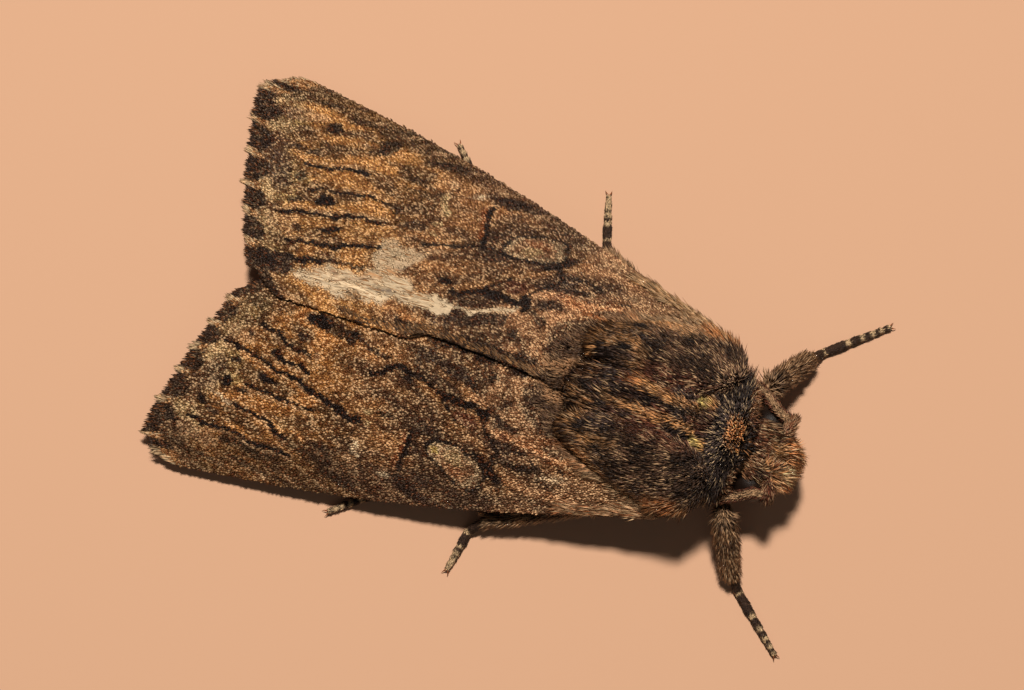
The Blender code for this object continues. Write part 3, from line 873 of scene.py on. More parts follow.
@dataclass
class WingPattern:
    """The colours of a forewing's upper side."""

    side: Side
    middle_shift: float = 0.012  # the right wing's marks lie this much further out

    @property
    def marks(self) -> Marks:
        """The marks of its side."""
        return FOREWING_MARKS + (LEFT_MARKS if self.side is Side.LEFT else RIGHT_MARKS)

    @staticmethod
    def flat(u: Array, v: Array) -> Array:
        """Wing shares as rough millimetres along and across it, with a row for each point."""
        return rows(WING_LENGTH * u, v * (3.4 + 5.6 * u))

    def cover(self, mark: Union[Stroke, Spot], at: Array) -> Array:
        """How much of a mark lies at each flat place, from 0 to 1."""
        if isinstance(mark, Spot):
            offset = at - self.flat(*np.array(mark.centre))
            turn = math.radians(mark.lean)
            along = offset[:, 0] * math.cos(turn) - offset[:, 1] * math.sin(turn)
            across = offset[:, 0] * math.sin(turn) + offset[:, 1] * math.cos(turn)
            far = np.hypot(along / mark.half[0], across / mark.half[1])
            return smooth((1.0 - far) / max(mark.edge, 0.1 / min(mark.half)) + 0.5)
        path = np.array(mark.path)
        far = far_from(at, self.flat(path[:, 0], path[:, 1]))
        return smooth((mark.wide / 2 - far) / 0.07 + 0.5)

    def marked(self, colour: Array, marks: Marks, at: Array) -> Array:
        """Colours at flat places with marks painted over them."""
        return overlaid(colour, *((m.tone, m.strength * self.cover(m, at)) for m in marks))

    def ground(self, u: Array, v: Array, at: Array) -> Array:
        """The wing's colours before its marks."""
        left = self.side is Side.LEFT
        soft = Grain(11).layered(level(at), 1.8)
        fine = Grain(12).layered(level(at * [0.4, 1.2]), 0.45)
        warm = blend(Tone.TAN, Tone.ORANGE, 0.3)
        basal = blend(Tone.UMBER, warm * 1.25, smooth(2.8 * fine - 0.85))
        middle = blend(Tone.BROWN * 0.6, Tone.GOLD, smooth(2.5 * fine - 0.65))
        outer = Tone.GOLD * 1.45 if left else blend(Tone.ORANGE, Tone.GOLD, 0.6) * 1.2
        outer = blend(Tone.BROWN * 0.7, outer, smooth(2.6 * fine - 0.7))
        outer = blend(outer, Tone.TAN, 0.6 * smooth(4.0 * soft - 2.3))
        wave = 0.875 + 0.02 * np.sin(21.0 * v + 1.0) - 0.05 * np.exp(-(((v - 0.52) / 0.09) ** 2))
        terminal = blend(Tone.BROWN * 0.55, Tone.PALE_OLIVE, smooth(2.4 * fine - 0.7))
        wide = 0.885 if left else 0.885 - 0.07 * smooth((u - 0.36) / 0.1)
        strip = smooth((v - wide - 0.03 * fine) / 0.04)
        costal = blend(Tone.UMBER * 0.8, Tone.BROWN * 0.55, smooth(3.0 * fine - 1.0))
        costal = blend(costal, Tone.TAN, (0.9 if left else 0.3) * smooth((0.45 - u) / 0.2))
        inner = smooth((0.13 - v) / 0.05) * smooth((u - 0.42) / 0.1)
        gilt = blend(Tone.BROWN * 1.3, Tone.GOLD * 2.2, smooth(2.6 * fine - 0.7))
        gilt = gilt * (1.0 - 0.5 * smooth((u - 0.68) / 0.16))[:, None]
        colour = overlaid(
            basal,
            (middle, smooth((u - 0.24) / 0.06)),
            (outer, smooth((u - 0.56) / 0.08)),
            (terminal, 0.8 * smooth((u - wave) / 0.03)),
            (costal, 0.85 * strip),
            (gilt, 0.8 * inner),
        )
        deep = smooth((u - 0.55) / 0.1) * smooth((0.93 - u) / 0.04)
        colour = colour * rows(1.0, 1.0, 1.0 - 0.2 * deep)
        mottle = Grain(13).layered(level(at * [0.55, 1.2]), 0.9)
        near = 1.0 - 0.3 * smooth((0.12 - u) / 0.12) * smooth((0.6 - v) / 0.15)
        blotch = 1.0 + 1.5 * (mottle - 0.47) * smooth((0.34 - u) / 0.1)
        near = near * blotch * (1.0 - 0.3 * smooth((0.2 - u) / 0.1) * smooth((0.8 - v) / 0.1))
        return colour * (near * (0.72 + 0.56 * soft) * (0.45 + 1.1 * mottle))[:, None]

    def edge_dashes(self, v: Array) -> Array:
        """1 on the outer edge's tan dashes and 0 on the dark lunules between them."""
        dashes = np.array([0.90, 0.72, 0.56, 0.42, 0.295, 0.17])
        near = np.min(np.abs(v[:, None] - dashes), axis=1)
        return np.maximum(smooth((0.015 - near) / 0.012 + 0.5), smooth((v - 0.94) / 0.02))

    def bare(self, u: Array, v: Array) -> Array:
        """Where the left wing has lost its scales, from 0 to 1."""
        if self.side is Side.RIGHT:
            return np.zeros(len(u))
        at = self.warped(u, v, 0.2)
        found = np.zeros(len(u))
        for mark in WORN_PATCHES:
            found = np.maximum(found, mark.strength * self.cover(mark, at))
        return found

    def worn_tones(self, u: Array, v: Array) -> Array:
        """Colours of the bare membrane: straw with fine fibres and a few brown streaks."""
        fibres = Grain(41).layered(rows(u * 9.0, v * 110.0, 0.0), 1.0, 2)
        colour = Tone.CREAM * (0.3 + 0.8 * fibres)[:, None]
        at = self.warped(u, v, 0.05)
        return self.marked(colour, STAINS, at)

    def warped(self, u: Array, v: Array, amount: float) -> Array:
        """Flat places pushed about a little, so that painted edges aren't ruled."""
        at = self.flat(u, v)
        spot = rows(at[:, 0], at[:, 1], 3.0 * self.side.value)
        push = rows(Grain(21).layered(spot, 0.5), Grain(22).layered(spot, 0.5))
        return at + (push - 0.5) * 2.0 * amount

    def colours(self, u: Array, v: Array) -> Array:
        """Colour of the wing at each place.

        Args:
            u: shares of the wing's length, from its base to its outer edge.
            v: shares of its width, from the midline to the front edge.

        Returns:
            One colour for each place.
        """
        shifted = u - (self.middle_shift * smooth((0.6 - u) / 0.2) if self.side is Side.RIGHT else 0)
        at = self.warped(shifted, v, 0.16)
        colour = self.ground(u, v, at)
        colour = self.marked(colour, self.marks, at)
        wavy = (0.943 if self.side is Side.LEFT else 0.95) + 0.012 * np.sin(44.0 * v + 1.2)
        rim = blend(Tone.UMBER * 0.75, Tone.GOLD, self.edge_dashes(v))
        return blend(colour, rim, 0.95 * smooth((u - wavy) / 0.012))


@dataclass
class Wing:
    """What every wing has: a thin sheet, and scales or hair that grow on it."""

    side: Side
    roof: Roof = field(default_factory=Roof)
    thick: float = 0.14
    bed: float = 0.0  # how far the membrane lies under the surface
    outer_end: float = 0.96  # share of the wing's length at which the membrane ends
    kind: ClassVar[str]

    def surface(self, u: Array, v: Array) -> Array:
        """Places on the wing's upper side, from shares of its length and width."""
        raise NotImplementedError

    def trimmed(self, u: Array, v: Array) -> Array:
        """Shares of the width that is there, as shares of the whole width."""
        return v

    def lie_and_out(self, u: Array, v: Array) -> tuple[Array, Array]:
        """The way outwards along the wing at each place, and the way up from it."""
        here = self.surface(u, v)
        lie = unit(self.surface(u + 0.002, v) - here)
        across = self.surface(u, np.clip(v + 0.004, 0, 1.2)) - here
        out = unit(np.cross(lie, across))
        return lie, out * np.sign(out[:, 2:3] + 1e-9)

    def sheet(self, bench: Bench, grid: tuple[int, int]) -> tuple[bpy.types.Mesh, Array, Array]:
        """The wing's thin sheet.

        Args:
            bench: the bench.
            grid: steps along it and across it.

        Returns:
            The mesh, and the shares of length and width of its upper corners, which come
            first in it.
        """
        bm = bmesh.new()
        bmesh.ops.create_grid(bm, x_segments=grid[0], y_segments=grid[1], size=1.0)
        flat = (corners_of(bm) + 1.0) / 2.0
        u = flat[:, 0] * self.outer_end
        v = self.trimmed(u, flat[:, 1])
        bench.put(bm, self.surface(u, v) - np.array([0.0, 0.0, self.bed]))
        bm.normal_update()
        if sum(face.normal.z for face in bm.faces) < 0:
            bmesh.ops.reverse_faces(bm, faces=bm.faces)
        bmesh.ops.solidify(bm, geom=bm.faces[:], thickness=self.thick * MM)
        return settled(bm, f"{self.kind}_membrane_{self.side.word}"), u, v

    def show(self, bench: Bench, mesh: bpy.types.Mesh, tones: Array) -> None:
        """Paints the sheet and shows it in place of its solid."""
        bench.paint(mesh, tones)
        bench.piece(mesh.name, mesh, "wing_membrane", self.kind, [f"{self.kind}_{self.side.word}"])

    def grow(self, bench: Bench, name: str, shares: tuple[Array, Array], widest: float,
             finish: str = "wing_scales", soft: bool = False, **values: Any) -> None:
        """Shows one lot of the wing's scales or hairs.

        Args:
            bench: the bench.
            name: what they are called.
            shares: where they are rooted, as shares of the wing's length and width.
            widest: share of its length at which each is widest.
            finish: the name of their finish.
            soft: whether their faces are shaded as smooth.
            **values: the other values of Locks.
        """
        locks = Locks(place=0.01 + 0.97 * rows(*shares), **values)
        bench.coat(f"{self.kind}_{name}", locks, widest, finish, self.kind, soft)


@dataclass
class Forewing(Wing):
    """One forewing: its membrane, its scales and the fringe along its outer edge."""

    kind: ClassVar[str] = "forewing"
    root_radius: float = 3.3
    root_centre: float = 7.2
    root_length: float = 3.6
    costa_bulge: float = 0.62
    termen_back: float = 25.1
    termen_rise: float = 2.6
    tip_drop: float = 2.1
    inner_drop: float = 1.3
    overlap_left: float = 0.6
    overlap_right: float = 0.25
    overlap_front: float = 0.55
    left_spread: float = 0.5
    left_reach: float = 0.3
    step: float = 0.15  # the left wing is raised, and the right one lowered, where they cross
    trim: float = 0.05  # share of the left wing missing along its inner edge, near its base
    base_sink: float = 1.0  # how far the base dips under the hair of the shoulders
    bed: float = 0.03  # how far the membrane lies under the scales' level
    coat_depth: float = 0.07
    outer_end: float = 0.972  # the membrane ends here and the fringe goes on
    row_spacing: float = 0.079
    scale_spacing: float = 0.0635

    def __post_init__(self) -> None:
        """Takes the pattern of its side."""
        self.pattern = WingPattern(self.side)
        self.rng = np.random.default_rng(100 + self.side.value)

    def plan(self, u: Array, v: Array) -> tuple[Array, Array]:
        """Places seen from above.

        Args:
            u: shares of the length, from base to outer edge.
            v: shares of the width, from the midline to the front edge.

        Returns:
            Distances out from the midline and back from the face.
        """
        left = self.side is Side.LEFT
        overlap = self.overlap_left + self.overlap_front * (1 - u) ** 3
        overlap = overlap if left else self.overlap_right
        root_out = self.root_radius * np.sin(np.minimum(math.pi / 2, np.radians(115.0 * v)))
        root_out = root_out + 0.85 * smooth((v - 0.8) / 0.2)
        root_back = self.root_centre + self.root_length * np.cos(np.radians(130.0 * v))
        end_out = self.roof.half_span * v
        end_back = self.termen_back + self.termen_rise * (np.maximum(end_out, 0) / 7.5) ** 0.75
        end_back = end_back - self.tip_drop * np.maximum(0, (v - 0.8) / 0.2) ** 3
        end_back = end_back - self.inner_drop * np.maximum(0, (0.12 - v) / 0.12) ** 1.5
        out = root_out + (end_out - root_out) * u
        out = out + self.costa_bulge * np.sin(math.pi * u) * v**2 - overlap * (1 - v) ** 4
        back = root_back + (end_back - root_back) * u
        if left:
            out = out + self.left_spread * smooth(1.2 * u) * v
            back = back + self.left_reach * u**4 * np.sqrt(v) * (1 + np.sin(math.pi * v))
        return out, back

    def surface(self, u: Array, v: Array) -> Array:
        """The skin of the wing's upper side, a coat's depth under the solid's."""
        out, back = self.plan(u, v)
        step = self.side.value * self.step * (1.0 - smooth(out / 2.2))
        up = self.roof.height(out, back) + step - self.coat_depth
        up = up - self.base_sink * smooth((0.13 - u) / 0.13) * smooth((0.75 - v) / 0.4)
        flat = level(WingPattern.flat(u, v))
        up = up + 0.05 * (Grain(31).layered(flat * [0.35, 1.0, 1.0], 0.9) - 0.5)
        return rows(self.side.value * out, back, up)

    def trimmed(self, u: Array, v: Array) -> Array:
        """Shares of the width that is there, as shares of the whole width."""
        if self.side is Side.RIGHT:
            return v
        lost = self.trim * smooth((0.56 - u) / 0.14)
        return lost + v * (1.0 - lost)

    def seeds(self, row_gap: float, gap: float) -> tuple[Array, Array]:
        """Rows of places over the wing, each a little off its row.

        Args:
            row_gap: millimetres between rows along the wing.
            gap: millimetres between places in a row.

        Returns:
            Their shares of the length and of the width.
        """
        found_u, found_v = [], []
        shares = np.linspace(0.0, 1.0, 60)
        for row in np.arange(0.0, self.outer_end, row_gap / WING_LENGTH):
            at = np.full(len(shares), row)
            curve = self.surface(at, self.trimmed(at, shares))
            travel = np.concatenate([[0.0], np.cumsum(np.linalg.norm(np.diff(curve, axis=0), axis=1))])
            count = int(travel[-1] / gap)
            place = (np.arange(count) + 0.5 + self.rng.normal(0.0, 0.4, count)) * travel[-1] / count
            found_v.append(np.interp(place, travel, shares))
            found_u.append(row + self.rng.normal(0.0, 0.45 * row_gap / WING_LENGTH, count))
        u = np.clip(np.concatenate(found_u), 0.0, self.outer_end)
        return u, self.trimmed(u, np.clip(np.concatenate(found_v), 0.002, 0.998))

    def membrane(self, bench: Bench) -> None:
        """The wing's own thin sheet, painted like the scales over it."""
        mesh, u, v = self.sheet(bench, (230, 120))
        tones = self.pattern.colours(u, v) * 0.7
        tones = blend(tones, self.pattern.worn_tones(u, v), self.pattern.bare(u, v))
        under = np.tile(Tone.GREY_BROWN * 1.3, (len(mesh.vertices) - len(u), 1))
        self.show(bench, mesh, np.concatenate([tones, under]))

    def scale_tones(self, u: Array, v: Array) -> Array:
        """Each scale's own colour: the pattern's, broken into pale, dark and rusty ones; the pale ones
        are partly real pale scales and partly painted glints.
        """
        colour = self.pattern.colours(u, v)
        flat = level(WingPattern.flat(u, v))
        draw = 0.4 * Grain(51).at(flat, 0.16) + 0.6 * self.rng.random(len(u))
        bright = colour.mean(axis=1)
        # pale scales: partly real pale scales, partly painted glints of the lamp on single scales
        pale = smooth((draw - 0.585) / 0.07) * smooth((bright - 0.012) / 0.06)
        front = 0.9 if self.side is Side.LEFT else 0.78
        pale = pale * (1.0 - 0.55 * smooth((v - front) / 0.08) * smooth((u - 0.3) / 0.1))
        dark = smooth((0.47 - draw) / 0.09)
        rusty = self.rng.random(len(u)) < 0.16
        colour = blend(colour, Tone.RUST * 0.8, 0.4 * rusty)
        colour = blend(colour, colour * [0.5, 0.4, 0.34], dark)
        # the pale colour, part real scale colour and part painted glint
        light = blend(colour * 1.9, Tone.HONEY * 1.25, 0.5)
        return blend(colour, light, 0.78 * pale)

    def scales(self, bench: Bench) -> None:
        """The scales in their rows, tips towards the outer edge."""
        u, v = self.seeds(self.row_spacing, self.scale_spacing)
        length = self.rng.uniform(0.18, 0.26, len(u))
        seen = u + (length - 0.05) / WING_LENGTH  # the rest is under the next row
        bare = self.pattern.bare(seen, v)
        kept = self.rng.random(len(u)) > 0.95 * bare
        u, v, seen, length, bare = u[kept], v[kept], seen[kept], length[kept], bare[kept]
        lie, out = self.lie_and_out(u, v)
        count = len(u)
        sway = np.cross(out, lie) * self.rng.normal(0.0, 0.22, (count, 1))
        colour = blend(self.scale_tones(seen, v), Tone.CREAM, 0.85 * bare)
        tones = np.stack([colour * 0.6, colour, colour * 1.15], axis=1)
        self.grow(
            bench, f"scales_{self.side.word}", (u, v), 0.68,
            root=self.surface(u, v) - out * (self.bed + 0.01),
            out=unit(out + self.rng.normal(0.0, 0.09, (count, 3))),
            lie=lie + sway,
            length=length,
            width=self.rng.uniform(0.046, 0.072, count),
            thick=0.016,
            lift=self.rng.uniform(0.30, 0.62, count),
            curl=0.9,
            tones=tones,
        )

    def fringe(self, bench: Bench) -> None:
        """Long narrow scales along the outer edge, in dark tufts between tan dashes."""
        count = 3600
        v = np.sort(self.rng.random(count))
        u = self.outer_end - self.rng.random(count) ** 1.5 * 0.03
        lie, out = self.lie_and_out(u, v)
        dash = self.pattern.edge_dashes(v)
        clump = Grain(61).at(rows(v * 9.0, 0.0, 0.0), 0.16)
        lean = np.cross(out, lie) * ((clump - 0.5) * 0.7)[:, None]
        colour = blend(Tone.UMBER * 0.8, Tone.HONEY, 0.8 * dash)
        colour = blend(colour, Tone.ORANGE, 0.3 * (self.rng.random(count) < 0.25))
        colour = colour * self.rng.uniform(0.6, 1.4, (count, 1))
        reach = 0.42 + 0.16 * dash + 0.12 * clump
        self.grow(
            bench, f"fringe_{self.side.word}", (u, v), 0.7,
            root=self.surface(u, v) - out * self.rng.uniform(0.0, 0.1, (count, 1)),
            out=out,
            lie=lie + lean,
            length=reach * self.rng.uniform(0.75, 1.1, count),
            width=self.rng.uniform(0.025, 0.045, count),
            thick=0.014,
            lift=self.rng.normal(0.0, 0.08, count),
            curl=0.4,
            tones=np.stack([colour * 0.8, colour, colour * 1.2], axis=1),
        )

    def hair(self, bench: Bench) -> None:
        """Hair over the wing's base, and along its inner edge and the front of its base."""
        rng = self.rng
        over, inner, front = 2600, 1900, 900
        u = np.concatenate([rng.random(over) ** 1.2 * 0.07, rng.random(inner) * 0.75,
                            0.02 + rng.random(front) * 0.16])
        v = np.concatenate([rng.random(over), rng.random(inner) ** 2 * 0.02,
                            0.985 - rng.random(front) ** 2 * 0.05])
        v = self.trimmed(u, v)
        lie, out = self.lie_and_out(u, v)
        across = np.cross(out, lie) * self.side.value
        kind = np.repeat([0, 1, 2], [over, inner, front])
        turn = np.choose(kind, [0.0, -0.35, 0.25])[:, None]
        at = self.surface(u, v)
        clump = Grain(63).at(at, 0.5)[:, None] - 0.5
        dark = blend(Tone.UMBER, Tone.BROWN, rng.random(len(u)) ** 2)
        warm = blend(Tone.BROWN, Tone.HONEY, rng.random(len(u)))
        basal = smooth((v - 0.62) / 0.12)
        ends = (Tone.GOLD, Tone.HONEY) if self.side is Side.LEFT else (Tone.RUST, Tone.HONEY)
        front_tone = blend(*ends, rng.random(len(u))) * 1.3
        edge_tone = blend(Tone.UMBER * 0.7, Tone.GOLD, rng.random(len(u)) ** 2)
        warm = np.where(kind[:, None] == 2, front_tone, warm)
        painted = self.pattern.colours(u + 0.03, v) * 1.2
        over_tone = blend(blend(dark, painted, 0.7), warm, 0.8 * basal)
        colour = np.where(kind[:, None] == 0, over_tone, warm * 0.8)
        colour = np.where(kind[:, None] == 1, edge_tone, colour)
        colour = colour * rng.uniform(0.5, 1.4, (len(u), 1))
        pale = 0.7 * (rng.random(len(u)) < 0.3)
        self.grow(
            bench, f"hair_{self.side.word}", (u, v), 0.5, "body_hair", True,
            root=at - out * 0.02,
            out=out,
            lie=lie + across * (turn + 0.9 * clump) + rng.normal(0.0, 0.12, (len(u), 3)),
            length=np.choose(kind, [0.6, 0.55, 0.85]) * rng.uniform(0.6, 1.2, len(u)),
            width=rng.uniform(0.022, 0.04, len(u)),
            thick=0.018,
            lift=np.choose(kind, [0.42, 0.15, 0.3]) * rng.uniform(0.4, 1.5, len(u)),
            curl=0.9,
            tones=np.stack([colour * 0.5, colour, blend(colour, Tone.SAND, pale)], axis=1),
        )

    def fibres(self, bench: Bench) -> None:
        """Thin loose scales lying along the bare patch."""
        rng, tries, most = self.rng, 9000, 600
        u, v = 0.42 + 0.44 * rng.random(tries), 0.05 + 0.36 * rng.random(tries)
        shown = rng.random(tries) * 0.9 < self.pattern.bare(u, v)
        u, v = u[shown][:most], v[shown][:most]
        lie, out = self.lie_and_out(u, v)
        count = len(u)
        brown = rng.random((count, 1)) < 0.3
        colour = np.where(brown, Tone.GOLD.linear, Tone.CREAM.linear) * rng.uniform(0.6, 1.2, (count, 1))
        self.grow(
            bench, "fibres", (u, v), 0.5, soft=True,
            root=self.surface(u, v) - out * (self.bed + 0.01),
            out=out,
            lie=lie + np.cross(out, lie) * rng.normal(0.08, 0.1, (count, 1)),
            length=rng.uniform(0.3, 1.1, count),
            width=rng.uniform(0.012, 0.03, count),
            thick=0.012,
            lift=rng.uniform(0.02, 0.12, count),
            curl=1.0,
            tones=np.stack([colour, colour, colour], axis=1),
        )

    def dress(self, bench: Bench) -> None:
        """Makes the whole wing."""
        self.membrane(bench)
        self.scales(bench)
        self.fringe(bench)
        self.hair(bench)
        if self.side is Side.LEFT:
            self.fibres(bench)


@dataclass
class Hindwing(Wing):
    """One hindwing, folded under the forewing beside the abdomen."""

    kind: ClassVar[str] = "hindwing"
    under: float = 1.05

    def surface(self, u: Array, v: Array) -> Array:
        """Places on its upper side."""
        root = rows(2.1 + 1.1 * v, 10.0 - 1.2 * v)
        end_back = 21.4 + 2.4 * np.sin(math.pi * (0.15 + 0.6 * v))
        end = rows(2.1 + 4.6 * v, end_back)
        at = root + (end - root) * u[:, None]
        out = at[:, 0] + 0.5 * np.sin(math.pi * u) * v
        pleat = 0.05 * np.sin(v * 26.0) * smooth(2.0 * u)
        up = self.roof.height(out, at[:, 1]) - self.under - 0.05 + pleat
        return rows(self.side.value * out, at[:, 1], up)

    def membrane(self, bench: Bench) -> None:
        """The wing's thin, softly pleated sheet."""
        mesh, _, _ = self.sheet(bench, (70, 60))
        self.show(bench, mesh, Tone.GREY_BROWN * 1.2)

    def scales(self, bench: Bench) -> None:
        """Scales under the wing and the pale fringe along its outer edge."""
        rng = np.random.default_rng(140 + self.side.value)
        count, fringe = 4000, 1000
        u = np.concatenate([rng.random(count) ** 0.8 * self.outer_end, np.full(fringe, 0.95)])
        v = rng.random(len(u))
        lie, up = self.lie_and_out(u, v)
        long = np.arange(len(u)) >= count
        brown = blend(Tone.GREY_BROWN, Tone.TAN, rng.random(len(u)) * 0.6)
        colour = np.where(long[:, None], blend(brown, Tone.SAND, 0.4), brown)
        self.grow(
            bench, f"scales_{self.side.word}", (u, v), 0.6,
            root=self.surface(u, v) - up * (self.thick - 0.02),
            out=-up,
            lie=lie + rng.normal(0.0, 0.15, (len(u), 3)),
            length=np.where(long, 0.6, 0.32) * rng.uniform(0.8, 1.1, len(u)),
            width=np.where(long, 0.05, 0.11),
            thick=0.016,
            lift=rng.uniform(0.05, 0.25, len(u)),
            curl=0.9,
            tones=np.stack([colour * 0.7, colour, colour * 1.1], axis=1),
        )

    def dress(self, bench: Bench) -> None:
        """Makes the whole wing."""
        self.membrane(bench)
        self.scales(bench)


# ------------------------------------------------------------------ flesh

HEAD_TURN = 0.3  # mm that the face is turned to the moth's right
HEAD_REAR = 2.75


def turned(back: Any) -> Any:
    """How far the head's turn moves a point sideways."""
    return -HEAD_TURN * np.maximum(0.0, 1.0 - np.asarray(back, float) / HEAD_REAR)


def share_round(side: Array, up: Array) -> Array:
    """Share of a turn at which each place lies round a middle line, half at the top."""
    return 0.5 + np.arctan2(side, up) / (2 * math.pi)


def bridged(rings: Iterable[Matrix], sides: int) -> bmesh.types.BMesh:
    """One closed body over rings.

    Args:
        rings: matrices that each place a circle of radius 1.
        sides: corners of each ring.

    Returns:
        The body, in millimetres.
    """
    bm = bmesh.new()
    loops = []
    for ring in rings:
        made = bmesh.ops.create_circle(bm, cap_ends=False, radius=1.0, segments=sides)
        bmesh.ops.transform(bm, matrix=ring, verts=made["verts"])
        loops.append(list({edge for vert in made["verts"] for edge in vert.link_edges}))
    for first, second in zip(loops, loops[1:]):
        bmesh.ops.bridge_loops(bm, edges=first + second)
    open_edges = [edge for edge in bm.edges if edge.is_boundary]
    bmesh.ops.holes_fill(bm, edges=open_edges, sides=sides)
    bmesh.ops.recalc_face_normals(bm, faces=bm.faces)
    return bm


@dataclass
class Trunk:
    """Head, collar, thorax and abdomen as one form, inside the solids by the coat's depth."""

    region: ClassVar[Region] = Region.THORAX
    # back, half width, lowest, highest, depth of the coat
    keys: Rows = (
        (0.30, 0.40, 3.30, 3.95, 0.18),
        (0.45, 0.78, 3.00, 4.25, 0.25),
        (0.75, 1.15, 2.75, 4.60, 0.30),
        (1.20, 1.48, 2.35, 5.00, 0.34),
        (2.00, 1.60, 2.05, 5.20, 0.34),
        (2.75, 1.50, 2.05, 5.25, 0.34),
        (3.10, 2.15, 2.35, 5.65, 0.40),
        (3.85, 3.00, 1.95, 6.45, 0.50),
        (4.45, 3.15, 1.90, 6.65, 0.50),
        (4.95, 3.05, 1.85, 6.50, 0.50),
        (6.00, 3.05, 1.60, 7.00, 0.50),
        (7.60, 2.85, 1.50, 6.95, 0.50),
        (8.90, 2.40, 1.50, 6.60, 0.50),
        (9.80, 1.75, 1.60, 5.90, 0.45),
        (10.20, 1.45, 1.70, 5.40, 0.40),
        (10.60, 1.55, 1.40, 4.70, 0.30),
        (11.20, 1.90, 0.95, 4.75, 0.25),
        (12.80, 2.15, 0.70, 4.50, 0.22),
        (15.00, 2.10, 0.60, 3.85, 0.22),
        (17.50, 1.80, 0.55, 3.25, 0.22),
        (20.00, 1.30, 0.55, 2.60, 0.22),
        (21.40, 0.80, 0.70, 1.95, 0.20),
        (21.90, 0.40, 0.90, 1.55, 0.16),
    )

    def __post_init__(self) -> None:
        """Works out the rows and the lasting values between them."""
        self.rows = through(self.keys, 4)

    def section(self, back: Array) -> tuple[Array, Array, Array]:
        """Half width, middle height and half height of the skin, back from the face."""
        at, *values = self.rows.T
        wide, low, high, depth = (np.interp(back, at, value) for value in values)
        return wide - depth, (low + high - 0.4 * depth) / 2, (high - low - 1.6 * depth) / 2

    def gap(self, points: Array) -> Array:
        """Rough distance from the skin, below 0 inside it."""
        wide, middle, half = self.section(points[:, 1])
        x = (points[:, 0] - turned(points[:, 1])) / wide
        far = np.hypot(x, (points[:, 2] - middle) / half)
        ends = np.maximum(self.rows[0, 0] - points[:, 1], points[:, 1] - self.rows[-1, 0])
        return np.maximum((far - 1.0) * np.minimum(wide, half), ends)

    def body(self) -> bmesh.types.BMesh:
        """The form as a closed body."""
        upright = Matrix.Rotation(math.pi / 2, 4, "X")
        rings = []
        for back in self.rows[:, 0]:
            wide, middle, half = self.section(back)
            centre = Vector((float(turned(back)), back, middle))
            size = Matrix.Diagonal((wide, half, 1.0, 1.0))
            rings.append(Matrix.Translation(centre) @ upright @ size)
        return bridged(rings, 40)

    def unwrapped(self, points: Array) -> Array:
        """Places on the unwrap: round the body, and along it."""
        _, middle, _ = self.section(points[:, 1])
        turn = share_round(points[:, 0] - turned(points[:, 1]), points[:, 2] - middle)
        return rows(turn, points[:, 1] / 23.0)


@dataclass
class Plate:
    """The skin of a tegula, the egg-shaped plate over a wing's base."""

    region: ClassVar[Region] = Region.TEGULA
    side: Side
    half: tuple[float, float, float] = (1.95, 3.6, 1.4)
    centre: tuple[float, float, float] = (2.25, 6.9, 5.55)
    slope: float = 33.0
    toe: float = 8.0
    taper: float = 0.2
    coat: float = 0.5

    def __post_init__(self) -> None:
        """Works out where it lies."""
        sign = self.side.value
        slope = Matrix.Rotation(math.radians(self.slope * sign), 4, "Y")
        toe = Matrix.Rotation(math.radians(self.toe * sign), 4, "Z")
        place = Matrix.Translation((self.centre[0] * sign, *self.centre[1:]))
        size = Matrix.Diagonal((*(h - self.coat for h in self.half), 1.0))
        self.lie = place @ toe @ slope @ size

    def body(self) -> bmesh.types.BMesh:
        """The plate as a closed body."""
        bm = bmesh.new()
        bmesh.ops.create_uvsphere(bm, u_segments=32, v_segments=18, radius=1.0)
        for vert in bm.verts:
            vert.co.x *= 1.0 - self.taper * vert.co.y
        bmesh.ops.transform(bm, matrix=self.lie, verts=bm.verts)
        return bm

    def inside(self, points: Array) -> Array:
        """The points in the frame in which the plate is a ball of radius 1."""
        back = np.array(self.lie.inverted())
        local = points @ back[:3, :3].T + back[:3, 3]
        local[:, 0] /= 1.0 - self.taper * np.clip(local[:, 1], -1.0, 1.0)
        return local

    def gap(self, points: Array) -> Array:
        """Rough distance from the skin, below 0 inside it."""
        return (np.linalg.norm(self.inside(points), axis=1) - 1.0) * (min(self.half) - self.coat)

    def unwrapped(self, points: Array) -> Array:
        """Places on the unwrap: round the plate, and along it."""
        local = self.inside(points)
        return rows(share_round(local[:, 0], local[:, 2]), 0.5 + 0.48 * np.clip(local[:, 1], -1, 1))


